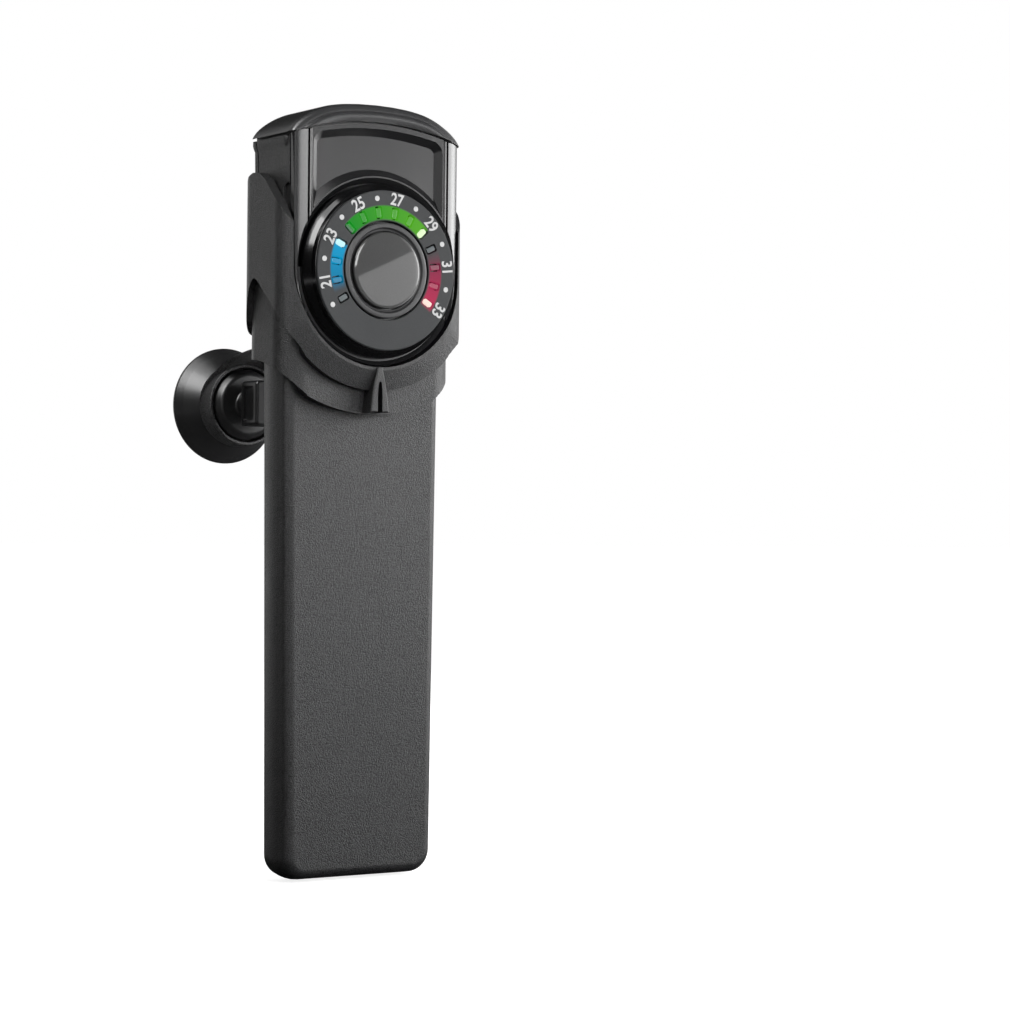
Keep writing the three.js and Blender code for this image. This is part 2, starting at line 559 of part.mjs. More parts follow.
/** The bushing that the cord would enter by, snapped into the rear cover. */
function cableGland() {
  const { neck, lip, lipDepth, flange, flangeDepth, tip, length, bore } = GLAND;
  const outside = HEAD_BACK + GAP;
  const inside = CAVITY_BACK - GAP;
  return spun([
    [bore, inside - lipDepth], [neck + lip, inside - lipDepth], [neck + lip, inside], [neck, inside],
    [neck, outside], [flange, outside], [flange, outside + flangeDepth],
    [tip, outside + length], [bore, outside + length], [bore, inside - lipDepth],
  ], GLAND_Z, 24);
}

// ------------------------------------------------------------------ hanger

/** The wing's edge seen from the side, as the region above it, in y and z. */
function aboveWings() {
  const tip = DIAL_Z + WING_RISE;
  const far = tip + 4 * OVERRUN;
  const shape = new THREE.Shape();
  shape.moveTo(RING_FRONT - OVERRUN, far);
  shape.lineTo(RING_FRONT - OVERRUN, DIAL_Z + 0.36 * WING_RISE);
  shape.lineTo(RING_FRONT, DIAL_Z + 0.38 * WING_RISE);
  shape.splineThru([
    new THREE.Vector2(RING_FRONT + 3.7, DIAL_Z + 0.67 * WING_RISE),
    new THREE.Vector2(WING_TIP_Y - 4.2, DIAL_Z + 0.92 * WING_RISE),
    new THREE.Vector2(WING_TIP_Y, tip),
    new THREE.Vector2(COLLAR_BACK - 1.7, DIAL_Z + 0.89 * WING_RISE),
    new THREE.Vector2(COLLAR_BACK - 1.0, DIAL_Z + 0.74 * WING_RISE),
    new THREE.Vector2(COLLAR_BACK, DIAL_Z + 0.62 * WING_RISE),
  ]);
  shape.lineTo(COLLAR_BACK + OVERRUN, DIAL_Z + 0.6 * WING_RISE);
  shape.lineTo(COLLAR_BACK + OVERRUN, far);
  shape.closePath();
  const reach = 2 * COLLAR_HALF_WIDTH;
  const axes = new THREE.Matrix4().makeBasis(
    new THREE.Vector3(0, 1, 0), new THREE.Vector3(0, 0, 1), new THREE.Vector3(1, 0, 0));
  return new THREE.ExtrudeGeometry(stepped(shape, 3), { depth: 2 * reach, bevelEnabled: false })
    .applyMatrix4(axes).translate(-reach, 0, 0);
}

/** A round-bottomed front view about the dial, straight-sided above, up to a top height. */
function cradleShape(radius, halfWidth, top) {
  const lean = Math.acos(halfWidth / radius);
  const shape = new THREE.Shape();
  shape.absarc(0, DIAL_Z, radius, Math.PI + lean, 2 * Math.PI - lean);
  shape.lineTo(halfWidth, top);
  shape.lineTo(-halfWidth, top);
  shape.closePath();
  return shape;
}

/** The sleeve that cradles the head: a front ring, two side wings, a back and a lower band. */
function hangerCollar() {
  const top = DIAL_Z + WING_RISE;
  const low = DIAL_Z - BAND_OUTER - OVERRUN;
  const ringCone = spun([
    [0, RING_FRONT], [RING_INNER, RING_FRONT], [RING_OUTER, RING_FRONT + RING_SLOPE],
    [2 * RING_OUTER, RING_FRONT + RING_SLOPE * (1 + RING_OUTER / RING_WIDTH)],
    [2 * RING_OUTER, COLLAR_BACK + OVERRUN], [0, COLLAR_BACK + OVERRUN],
  ], DIAL_Z, 48);
  const sleeveView = cradleShape(RING_OUTER, COLLAR_HALF_WIDTH, top + OVERRUN);
  const sleeve = solidOf(slab(sleeveView, RING_FRONT, COLLAR_BACK))
    .intersect(solidOf(column(COLLAR_HALF_WIDTH, RING_FRONT, COLLAR_BACK, COLLAR_CORNER, low, top + OVERRUN)))
    .intersect(solidOf(ringCone));
  const bandHalf = COLLAR_HALF_WIDTH - BAND_INSET;
  const band = solidOf(slab(cradleShape(BAND_OUTER, bandHalf, DIAL_Z), BAND_FRONT, COLLAR_BACK))
    .intersect(solidOf(column(bandHalf, BAND_FRONT, COLLAR_BACK, COLLAR_CORNER, low, top)));
  const headRoom = solidOf(slab(headShape(SLIDE_GAP, CROWN_Z + HEAD_RISE),
    RING_FRONT - OVERRUN, HEAD_BACK + SLIDE_GAP));
  const bladeRoom = solidOf(slab(bladeShape(SLIDE_GAP, bladeTop, low - BLADE_TIP_CORNER),
    BLADE_FRONT - SLIDE_GAP, BLADE_BACK + SLIDE_GAP));
  const notchRadius = GLAND.flange + GLAND_NOTCH_MARGIN;
  const notch = new THREE.Shape();
  notch.absarc(0, GLAND_Z, notchRadius, Math.PI, 2 * Math.PI);
  notch.lineTo(notchRadius, CROWN_Z);
  notch.lineTo(-notchRadius, CROWN_Z);
  const glandRoom = solidOf(slab(notch, HEAD_BACK, COLLAR_BACK + OVERRUN));
  return geometryOf(sleeve.add(band).add(tongue())
    .subtract(headRoom).subtract(bladeRoom).subtract(solidOf(aboveWings())).subtract(glandRoom));
}

/** The pointed tongue on the band's front, split by a narrow slot. */
function tongue() {
  const bottom = DIAL_Z - BAND_OUTER + GAP;
  const tip = DIAL_Z - RING_INNER + GAP;
  const shape = new THREE.Shape();
  shape.moveTo(-TONGUE_WIDTH / 2, bottom);
  shape.lineTo(TONGUE_WIDTH / 2, bottom);
  shape.lineTo(TONGUE_TIP_WIDTH / 2, tip);
  shape.lineTo(-TONGUE_TIP_WIDTH / 2, tip);
  shape.closePath();
  const slot = block([-TONGUE_SLOT / 2, RING_FRONT - 2 * OVERRUN, bottom - OVERRUN],
    [TONGUE_SLOT / 2, BAND_FRONT - GAP, tip - RING_WIDTH / 2]);
  return solidOf(slab(shape, RING_FRONT - TONGUE_PROUD, BAND_FRONT + COLLAR_WALL)).subtract(solidOf(slot));
}

/** The arm behind the collar: a pad, a hood over the cup's stem, and the ring that grips it. */
function hangerArm() {
  const start = COLLAR_BACK + GAP;
  const hood = new THREE.Shape();
  const [from, to] = [Math.PI / 2 - HOOD_HALF_ANGLE, Math.PI / 2 + HOOD_HALF_ANGLE];
  hood.absarc(0, CUP_AXIS_HEIGHT, HOOD_INNER + HOOD_WALL, from, to);
  hood.absarc(0, CUP_AXIS_HEIGHT, HOOD_INNER, to, from, true);
  hood.closePath();
  const ring = annulus(HOOD_INNER + 0.1, CUP_NECK_RADIUS + GAP, CUP_AXIS_HEIGHT);
  const padTop = CUP_AXIS_HEIGHT + HOOD_INNER + HOOD_WALL + 2;
  const pad = block([-ARM_PAD.width / 2, start, padTop - ARM_PAD.height],
    [ARM_PAD.width / 2, start + ARM_PAD.thickness, padTop]);
  return geometryOf(solidOf(slab(hood, start, ARM_RING_BACK, { segments: 6 }))
    .add(solidOf(slab(ring, ARM_RING_FRONT, ARM_RING_BACK, { segments: 18 })))
    .add(solidOf(pad)));
}

/** The rubber cup: a square stem, a round bead, a grooved neck and the hollow skirt. */
function suctionCup() {
  const rim = CUP_STANDOFF;
  const spunPart = spun([
    [0, STEM_BACK - 1], [STEM_NECK_RADIUS, STEM_BACK - 1], [STEM_NECK_RADIUS, BEAD_FRONT],
    [BEAD_RADIUS - 1, BEAD_FRONT], [BEAD_RADIUS, BEAD_FRONT + 1], [BEAD_RADIUS, BEAD_BACK - 0.6],
    [BEAD_RADIUS - 0.6, BEAD_BACK], [CUP_NECK_RADIUS, BEAD_BACK], [CUP_NECK_RADIUS, CUP_SHOULDER],
    [CUP_SHOULDER_RADIUS, CUP_SHOULDER + 0.3], [CUP_RADIUS - 1, rim - 1.6], [CUP_RADIUS, rim - 0.5],
    [CUP_RADIUS, rim], [CUP_RADIUS - CUP_LIP, rim], [CUP_RADIUS * 0.65, rim - CUP_HOLLOW_DEPTH * 0.7],
    [0, rim - CUP_HOLLOW_DEPTH],
  ], CUP_AXIS_HEIGHT);
  const { width, height, length, corner } = STEM_BLOCK;
  const stemView = roundedRectangle(width / 2, CUP_AXIS_HEIGHT - height / 2,
    CUP_AXIS_HEIGHT + height / 2, corner);
  const stem = slab(stemView, STEM_BACK - length, STEM_BACK, { segments: 3 });
  return geometryOf(solidOf(spunPart).add(solidOf(stem)));
}

// ---------------------------------------------------------------- assembly

const group = new THREE.Group();
group.position.set(0, -CUP_STANDOFF, -CUP_AXIS_HEIGHT);

function add(name, geometry, material) {
  const mesh = new THREE.Mesh(geometry, material);
  mesh.name = name;
  group.add(mesh);
  return mesh;
}

// Casing
add('front_shell', frontShell(), GRAINED);
add('rear_cover', rearCover(), GRAINED);
add('head_fascia', headFascia(), GLOSS);
add('top_cap', topCap(), SATIN);
add('cap_seal', capSeal(), RUBBER);
add('cable_gland', cableGland(), RUBBER);

// Dial and its lamps
add('dial_bezel', dialBezel(), GLOSS);
add('dial_plate', dialPlate(), SATIN);
add('light_guide', lightGuide(), CLEAR);
ledAngles.forEach((angle, i) => {
  const box = new THREE.BoxGeometry(LED_SIZE.radial, LED_SIZE.height, LED_SIZE.tangent);
  const led = add(`led_${LED_FIRST_DEGREES + i}`, box, LAMP);
  led.position.set(LED_CIRCLE * Math.cos(angle), LED_BACK - LED_SIZE.height / 2,
    DIAL_Z + LED_CIRCLE * Math.sin(angle));
  led.rotation.y = -angle;
});

// Push button
add('button_seal', spun([
  [SEAL_INNER, PLATE_BACK - SEAL_THICKNESS], [SEAL_OUTER, PLATE_BACK - SEAL_THICKNESS],
  [SEAL_OUTER, PLATE_BACK], [SEAL_INNER, PLATE_BACK], [SEAL_INNER, PLATE_BACK - SEAL_THICKNESS],
], DIAL_Z), RUBBER);
add('set_button', setButton(), SATIN);
add('switch_plunger', rod(PLUNGER_RADIUS, BUTTON_BACK + BUTTON_FLANGE + BUTTON_STEM_LENGTH + GAP,
  INDICATOR_FRONT - BUTTON_TRAVEL - GAP / 3, 0, DIAL_Z, 16), STEEL);
add('tact_switch', tactSwitch(), CHIP);

// Boards and what they carry
add('indicator_board', rod(SPIGOT_BORE - GAP, INDICATOR_FRONT, INDICATOR_BACK, 0, DIAL_Z, 40), BOARD);
add('board_header', block([-HEADER.width / 2, INDICATOR_BACK + GAP, DIAL_Z - HEADER.drop - HEADER.height / 2],
  [HEADER.width / 2, CONTROL_FRONT - GAP, DIAL_Z - HEADER.drop + HEADER.height / 2]), CHIP);
add('control_board', controlBoard(), BOARD);
add('microcontroller', block([-CONTROLLER.size / 2, CONTROL_FRONT - GAP - CONTROLLER.thickness, DIAL_Z - 2],
  [CONTROLLER.size / 2, CONTROL_FRONT - GAP, DIAL_Z - 2 + CONTROLLER.size]), CHIP);
const terminalTop = GLAND_Z - TERMINAL.belowGland;
const chipTop = terminalTop - TERMINAL.height - CHIP_SPACING;
add('cord_terminal', block([-TERMINAL.width / 2, CONTROL_BACK + GAP, terminalTop - TERMINAL.height],
  [TERMINAL.width / 2, CAVITY_BACK - 2 * GAP, terminalTop]), CHIP);
const chipSide = CHIP_SPACING / 2;
add('power_triac', block([-chipSide - TRIAC.width, CONTROL_BACK + GAP, chipTop - TRIAC.height],
  [-chipSide, CAVITY_BACK - GAP, chipTop]), CHIP);
add('dropper_capacitor', block([chipSide, CONTROL_BACK + GAP, chipTop - CAPACITOR.height],
  [chipSide + CAPACITOR.width, CAVITY_BACK - 2 * GAP, chipTop]), COPPER_LEAD);
for (const [name, side] of [['board_screw_left', -1], ['board_screw_right', 1]]) {
  add(name, boardScrew(side), STEEL);
}

// Heating stack in the blade: spreader, mica, element, mica, spreader
const elementTop = BLADE_LENGTH - ELEMENT.headMargin;

function sheet(margin, front, back) {
  const half = BLADE_TIP_HALF - ELEMENT.sideMargin + margin;
  return block([-half, front, ELEMENT.tipMargin - margin], [half, back, elementTop + margin]);
}

const micaNear = ELEMENT.thickness / 2 + GAP;
const micaFar = micaNear + MICA.thickness;
add('spreader_front', sheet(MICA.margin, BLADE_FRONT + BLADE_WALL + GAP, -micaFar - GAP), ALLOY);
add('mica_front', sheet(MICA.margin, -micaFar, -micaNear), MICA_SHEET);
add('heating_element', sheet(0, -ELEMENT.thickness / 2, ELEMENT.thickness / 2), CERAMIC);
add('mica_rear', sheet(MICA.margin, micaNear, micaFar), MICA_SHEET);
add('spreader_rear', sheet(MICA.margin, micaFar + GAP, BLADE_SEAM - GAP), ALLOY);

// Leads, cut-out and sensor between the element and the control board
const upright = (radius, low, high, x, y) =>
  new THREE.CylinderGeometry(radius, radius, high - low, 12).rotateX(Math.PI / 2)
    .translate(x, y, (low + high) / 2);
const leadY = -LEAD_RADIUS; // under the board, and inside the element's thickness
const fuseLow = elementTop + THERMAL_FUSE.above;
const fuseHigh = fuseLow + THERMAL_FUSE.length;
add('thermal_fuse', upright(THERMAL_FUSE.radius, fuseLow, fuseHigh, LEAD_X, leadY), STEEL);
add('lead_live', upright(LEAD_RADIUS, fuseHigh + GAP, boardFoot - GAP, LEAD_X, leadY), COPPER_LEAD);
add('lead_fused', upright(LEAD_RADIUS, elementTop + GAP, fuseLow - GAP, LEAD_X, leadY), COPPER_LEAD);
add('lead_neutral', upright(LEAD_RADIUS, elementTop + GAP, boardFoot - GAP, -LEAD_X, leadY), COPPER_LEAD);
add('temperature_sensor', block([-SENSOR.width / 2, BLADE_FRONT + BLADE_WALL + GAP, fuseLow],
  [SENSOR.width / 2, BLADE_FRONT + BLADE_WALL + GAP + SENSOR.thickness, fuseLow + SENSOR.height]), CERAMIC);

// Hanger and suction cup
add('hanger_collar', hangerCollar(), GRAINED);
add('hanger_arm', hangerArm(), GRAINED);
add('suction_cup', suctionCup(), RUBBER);

export default group;
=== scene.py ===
"""Looks of a submersible aquarium heater: casing, lit dial, hanger collar and suction cup.

Shapes are drawn in millimetres from the middle of the blade's tip, in the frame's own axes:
+X to the right, -Y towards whoever reads the dial, +Z up. A piece becomes metres when it is
placed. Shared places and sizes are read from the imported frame.
"""

from __future__ import annotations

import functools
import json
import logging
import math
import sys
from collections.abc import Iterable, Sequence
from dataclasses import dataclass
from enum import Enum

import bmesh
import bpy
from mathutils import Matrix, Vector

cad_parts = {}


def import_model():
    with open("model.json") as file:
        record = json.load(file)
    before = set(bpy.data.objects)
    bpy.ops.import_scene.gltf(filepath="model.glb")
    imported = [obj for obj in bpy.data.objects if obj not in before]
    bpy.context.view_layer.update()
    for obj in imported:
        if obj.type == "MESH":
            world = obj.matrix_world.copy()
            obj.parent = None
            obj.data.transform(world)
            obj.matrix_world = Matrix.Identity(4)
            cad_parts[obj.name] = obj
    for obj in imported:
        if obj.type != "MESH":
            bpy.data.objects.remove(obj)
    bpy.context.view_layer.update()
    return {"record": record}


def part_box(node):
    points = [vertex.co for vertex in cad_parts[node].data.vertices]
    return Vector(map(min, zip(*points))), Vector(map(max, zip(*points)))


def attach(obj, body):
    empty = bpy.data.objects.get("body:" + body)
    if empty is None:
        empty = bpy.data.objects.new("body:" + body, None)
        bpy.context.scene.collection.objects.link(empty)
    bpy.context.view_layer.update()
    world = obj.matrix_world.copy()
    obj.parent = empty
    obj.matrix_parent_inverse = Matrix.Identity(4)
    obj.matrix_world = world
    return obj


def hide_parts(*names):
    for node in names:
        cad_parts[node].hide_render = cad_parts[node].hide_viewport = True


LOG = logging.getLogger("heater")
MM = 0.001
BEYOND = 40.0  # mm, further out than the heater reaches to either side, or behind its blade

Point = tuple[float, float]
Colour = tuple[float, float, float]


# ------------------------------------------------------------------ names

class Body(Enum):
    """The moving bodies of the frame."""

    CUP = "root"
    HANGER = "hanger"
    HEATER = "heater"
    BUTTON = "button"


class View(Enum):
    """The way an outline is drawn: its two axes, then the axis that it is made solid along."""

    FRONT = (0, 2, 1)
    PLAN = (0, 1, 2)
    SIDE = (1, 2, 0)


class Combine(Enum):
    """How two solids become one."""

    JOIN = "UNION"
    CUT = "DIFFERENCE"
    KEEP = "INTERSECT"


# --------------------------------------------------------------- outlines

def arc(centre: Point, radius: float, start: float, end: float, steps: int = 48) -> list[Point]:
    """Points along an arc.

    Args:
        centre: Middle of the arc.
        radius: Its radius.
        start: Angle of the first point in degrees, anticlockwise from the first axis.
        end: Angle of the last point in degrees.
        steps: Number of straight steps.

    Returns:
        The points, both ends included.
    """
    angles = (math.radians(start + (end - start) * i / steps) for i in range(steps + 1))
    return [(centre[0] + radius * math.cos(a), centre[1] + radius * math.sin(a)) for a in angles]


def arch_height(across: float, peak: float, radius: float) -> float:
    """Height of an arch at a distance across from its middle.

    Args:
        across: Distance from the arch's middle.
        peak: Height of its highest point.
        radius: Its radius.

    Returns:
        The height.
    """
    return peak - radius + math.sqrt(radius * radius - across * across)


def arch(half: float, peak: float, radius: float, steps: int = 40) -> list[Point]:
    """Points of an arch from right to left.

    Args:
        half: Half the arch's width.
        peak: Height of its highest point.
        radius: Its radius.
        steps: Number of straight steps.

    Returns:
        The points, both ends included.
    """
    lean = math.degrees(math.asin(half / radius))
    return arc((0.0, peak - radius), radius, 90 - lean, 90 + lean, steps)


def eased(corners: Sequence[tuple[float, float, float]], closed: bool = True, steps: int = 6) -> list[Point]:
    """An outline of straight lines with round corners.

    Args:
        corners: Two coordinates and a corner radius each. A radius of 0 stays sharp.
        closed: Whether the last corner joins the first.
        steps: Number of straight steps in a round corner.

    Returns:
        The outline's points.
    """
    points: list[Point] = []
    for i, (u, v, radius) in enumerate(corners):
        inner = closed or 0 < i < len(corners) - 1
        here = Vector((u, v))
        if radius <= 0 or not inner:
            points.append((u, v))
            continue
        before = (Vector(corners[i - 1][:2]) - here).normalized()
        after = (Vector(corners[(i + 1) % len(corners)][:2]) - here).normalized()
        half = before.angle(after) / 2
        reach = radius / math.tan(half)
        middle = here + (before + after).normalized() * radius / math.sin(half)
        first = here + before * reach - middle
        turn = first.angle_signed(here + after * reach - middle)
        for k in range(steps + 1):
            spoke = first.copy()
            spoke.rotate(Matrix.Rotation(-turn * k / steps, 2))
            points.append(tuple(middle + spoke))
    return points


def curve(knots: Sequence[Point], steps: int = 4) -> list[Point]:
    """A smooth line through knots.

    Args:
        knots: The knots in order.
        steps: Number of straight steps from one knot to the next.

    Returns:
        The points, both ends included.
    """
    spots = [Vector(knot) for knot in knots]
    spots = [spots[0] * 2 - spots[1], *spots, spots[-1] * 2 - spots[-2]]
    points: list[Point] = []
    for before, here, there, after in zip(spots, spots[1:], spots[2:], spots[3:]):
        for k in range(steps):
            t = k / steps
            spot = (here * 2 + (there - before) * t + (before * 2 - here * 5 + there * 4 - after) * t * t
                    + (here * 3 - before - there * 3 + after) * t ** 3) / 2
            points.append(tuple(spot))
    return [*points, tuple(knots[-1])]


def rectangle(low: Point, high: Point, corner: float = 0.0) -> list[Point]:
    """A rectangle with round corners.

    Args:
        low: Its lowest corner.
        high: Its highest corner.
        corner: Radius of the corners.

    Returns:
        The outline's points.
    """
    (a, b), (c, d) = low, high
    steps = 24 if corner > 4 else 8
    return eased([(a, b, corner), (c, b, corner), (c, d, corner), (a, d, corner)], steps=steps)


def inset(outline: Sequence[Point], by: float) -> list[Point]:
    """An anticlockwise outline moved inwards at every point.

    Args:
        outline: The outline's points.
        by: Distance inwards, or outwards where it is negative.

    Returns:
        The moved points, as many as were given.
    """
    moved: list[Point] = []
    count = len(outline)
    for i, here in enumerate(outline):
        spot = Vector(here)
        before = (spot - Vector(outline[i - 1])).normalized()
        after = (Vector(outline[(i + 1) % count]) - spot).normalized()
        normals = Vector((-before.y, before.x)) + Vector((-after.y, after.x))
        share = max(1 + before.dot(after), 0.05)
        moved.append(tuple(spot + normals * (by / share)))
    return moved


def stepped(start: Point, steps: Iterable[Point], ways: Point = (1, 1)) -> list[Point]:
    """Points at steps from a start.

    Args:
        start: Where the steps are measured from.
        steps: Distances along the two axes.
        ways: 1 or -1 for each axis, the way that its distances go.

    Returns:
        The points.
    """
    return [(start[0] + ways[0] * u, start[1] + ways[1] * v) for u, v in steps]


def image(points: Sequence[Point]) -> list[Point]:
    """The points mirrored left to right, in reverse order."""
    return [(-u, v) for u, v in reversed(points)]


def clean(outline: Iterable[Point]) -> list[Point]:
    """The outline without points that lie on the one before them."""
    kept: list[Point] = []
    least = 1e-4
    for point in outline:
        if not kept or math.dist(point, kept[-1]) > least:
            kept.append(point)
    while math.dist(kept[0], kept[-1]) <= least:
        kept.pop()
    return kept


def rounding(start: float, end: float, radius: float, steps: int = 6) -> list[tuple[float, float]]:
    """The stations of a round edge, from the flat end towards the side.

    Args:
        start: Position of the flat end along the axis.
        end: A position on the far side, which says which way the side lies.
        radius: Radius of the edge.
        steps: Number of straight steps.

    Returns:
        Pairs of a position and an inset.
    """
    way = math.copysign(1.0, end - start)
    angles = (math.pi / 2 * i / steps for i in range(steps + 1))
    return [(start + way * radius * (1 - math.cos(a)), radius * (1 - math.sin(a))) for a in angles]


def rounded_ends(low: float, high: float, at_low: float = 0.0, at_high: float = 0.0,
                 steps: int = 6) -> list[tuple[float, float]]:
    """The stations of a solid with round edges at both ends.

    Args:
        low: Position of the lower end.
        high: Position of the higher end.
        at_low: Radius of the edge at the lower end, or 0.
        at_high: Radius of the edge at the higher end, or 0.
        steps: Number of straight steps in an edge.

    Returns:
        Pairs of a position and an inset, from low to high.
    """
    first = rounding(low, high, at_low, steps) if at_low > 0 else [(low, 0.0)]
    last = rounding(high, low, at_high, steps) if at_high > 0 else [(high, 0.0)]
    return first + last[::-1]


# ----------------------------------------------------------------- solids

def linked(name: str, data: bpy.types.ID) -> bpy.types.Object:
    """A new object that shows the data, linked to the scene."""
    made = bpy.data.objects.new(name, data)
    bpy.context.scene.collection.objects.link(made)
    return made


def meshed(name: str, bm: bmesh.types.BMesh) -> bpy.types.Mesh:
    """A mesh of what was drawn, which is then freed."""
    mesh = bpy.data.meshes.new(name)
    bm.to_mesh(mesh)
    bm.free()
    return mesh


def evaluated(holder: bpy.types.Object) -> bpy.types.Mesh:
    """The final mesh of an object, which is then removed."""
    graph = bpy.context.evaluated_depsgraph_get()
    mesh = bpy.data.meshes.new_from_object(holder.evaluated_get(graph))
    bpy.data.objects.remove(holder)
    return mesh


class Solid:
    """A closed mesh in millimetres, in the heater's own axes."""

    def __init__(self, mesh: bpy.types.Mesh) -> None:
        """Keeps the mesh."""
        self.mesh = mesh

    @classmethod
    def lattice(cls, rows: Sequence[Sequence[Vector]], wrap_rows: bool = False, wrap_columns: bool = True,
                capped: bool = True) -> Solid:
        """A solid whose skin is a lattice of points.

        Args:
            rows: Rows of points, all as long.
            wrap_rows: Whether the last row joins the first.
            wrap_columns: Whether the last point of a row joins its first.
            capped: Whether the first and the last row are closed with a face.

        Returns:
            The solid.
        """
        bm = bmesh.new()
        grid = [[bm.verts.new(point) for point in row] for row in rows]
        count, length = len(grid), len(grid[0])
        for r in range(count if wrap_rows else count - 1):
            for c in range(length if wrap_columns else length - 1):
                above, across = grid[(r + 1) % count], (c + 1) % length
                bm.faces.new((grid[r][c], grid[r][across], above[across], above[c]))
        if capped:
            bm.faces.new(grid[0])
            bm.faces.new(grid[-1])
        bmesh.ops.remove_doubles(bm, verts=bm.verts[:], dist=1e-5)
        bmesh.ops.recalc_face_normals(bm, faces=bm.faces[:])
        if bm.calc_volume(signed=True) < 0:
            bmesh.ops.reverse_faces(bm, faces=bm.faces[:])
        return cls(meshed("solid", bm))

    @classmethod
    def prism(cls, outline: Iterable[Point], view: View, stations: Sequence[tuple[float, float]]) -> Solid:
        """An outline made solid along the view's third axis.

        Args:
            outline: The outline, anticlockwise.
            view: The axes that it is drawn in.
            stations: Pairs of a position along the third axis and the outline's inset there.

        Returns:
            The solid.
        """
        drawn = clean(outline)
        u_axis, v_axis, depth_axis = view.value
        rows = []
        for position, by in stations:
            row = []
            for u, v in inset(drawn, by) if by else drawn:
                point = Vector((0.0, 0.0, 0.0))
                point[u_axis], point[v_axis], point[depth_axis] = u, v, position
                row.append(point)
            rows.append(row)
        return cls.lattice(rows)

    @classmethod
    def slab(cls, outline: Iterable[Point], low: float, high: float, view: View = View.FRONT) -> Solid:
        """An outline made solid straight from one position to another."""
        return cls.prism(outline, view, [(low, 0.0), (high, 0.0)])

    @classmethod
    def spun(cls, profile: Sequence[Point], centre: Point, sides: int = 128) -> Solid:
        """A profile spun round an axis along Y.

        Args:
            profile: Pairs of a radius and a position along Y. It closes on itself unless both
                ends lie on the axis.
            centre: The axis in X and Z.
            sides: Number of steps round the axis.

        Returns:
            The solid.
        """
        on_axis = profile[0][0] <= 0 and profile[-1][0] <= 0
        rows = []
        for i in range(sides):
            angle = 2 * math.pi * i / sides
            rows.append([Vector((centre[0] + r * math.cos(angle), y, centre[1] + r * math.sin(angle)))
                         for r, y in profile])
        return cls.lattice(rows, wrap_rows=True, wrap_columns=not on_axis, capped=False)

    @classmethod
    def rod(cls, radius: float, low: float, high: float, height: float, sides: int) -> Solid:
        """A round rod along Y, its middle at a height."""
        return cls.spun([(0.0, low), (radius, low), (radius, high), (0.0, high)], (0.0, height), sides)

    @classmethod
    def box(cls, low: Sequence[float], high: Sequence[float]) -> Solid:
        """A box between two corners."""
        return cls.slab(rectangle((low[0], low[2]), (high[0], high[2])), low[1], high[1])

    def _through(self, *modifiers: tuple[str, dict]) -> bpy.types.Mesh:
        """The mesh after modifiers, each given by its type and settings."""
        holder = linked("holder", self.mesh)
        for kind, settings in modifiers:
            modifier = holder.modifiers.new(kind.lower(), kind)
            for key, value in settings.items():
                setattr(modifier, key, value)
        return evaluated(holder)

    def combined(self, other: Solid, how: Combine) -> Solid:
        """This solid and another as one.

        Args:
            other: The other solid.
            how: Whether it is joined on, cut away or kept within.

        Returns:
            A new solid.

        Raises:
            ValueError: If nothing is left.
        """
        tool = linked("tool", other.mesh)
        made = self._through(("BOOLEAN", {"object": tool, "operation": how.value, "solver": "MANIFOLD"}))
        bpy.data.objects.remove(tool)
        if not made.polygons:
            raise ValueError("nothing is left of a solid")
        return Solid(made)

    def join(self, *others: Solid) -> Solid:
        """This solid with others joined on."""
        return functools.reduce(lambda a, b: a.combined(b, Combine.JOIN), others, self)

    def cut(self, *others: Solid) -> Solid:
        """This solid with others cut away."""
        return functools.reduce(lambda a, b: a.combined(b, Combine.CUT), others, self)

    def keep(self, *others: Solid) -> Solid:
        """What lies within this solid and others."""
        return functools.reduce(lambda a, b: a.combined(b, Combine.KEEP), others, self)

    def softened(self, width: float, segments: int = 3, angle: float = 32.0, merge: float = 0.02) -> Solid:
        """The solid with its sharp edges rounded.

        Args:
            width: Width of the rounding.
            segments: Number of steps across it.
            angle: Edges that turn more than this, in degrees, are rounded.
            merge: Points nearer than this are joined first.

        Returns:
            A new solid.
        """
        weld = ("WELD", {"merge_threshold": merge})
        bevel = ("BEVEL", {"width": width, "segments": segments, "limit_method": "ANGLE",
                           "angle_limit": math.radians(angle), "use_clamp_overlap": True,
                           "miter_outer": "MITER_ARC"})
        return Solid(self._through(weld, bevel))

    def open_edges(self) -> int:
        """Number of edges that don't join exactly two faces."""
        bm = bmesh.new()
        bm.from_mesh(self.mesh)
        count = sum(1 for edge in bm.edges if not edge.is_manifold)
        bm.free()
        return count


# ---------------------------------------------------------- shared places

@dataclass(frozen=True)
class Span:
    """The box of a CAD node in millimetres from the blade tip's middle."""

    low: Vector
    high: Vector

    @classmethod
    def of(cls, node: str, origin: Vector | None = None) -> Span:
        """Reads a node's box.

        Args:
            node: The node's name.
            origin: The blade tip's middle in the frame, in millimetres, or None for the frame's own.

        Returns:
            The box.
        """
        low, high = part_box(node)
        start = origin or Vector((0.0, 0.0, 0.0))
        return cls(low / MM - start, high / MM - start)

    @property
    def middle(self) -> Vector:
        """The box's middle."""
        return (self.low + self.high) / 2

    @property
    def half(self) -> Vector:
        """Half the box's size."""
        return (self.high - self.low) / 2


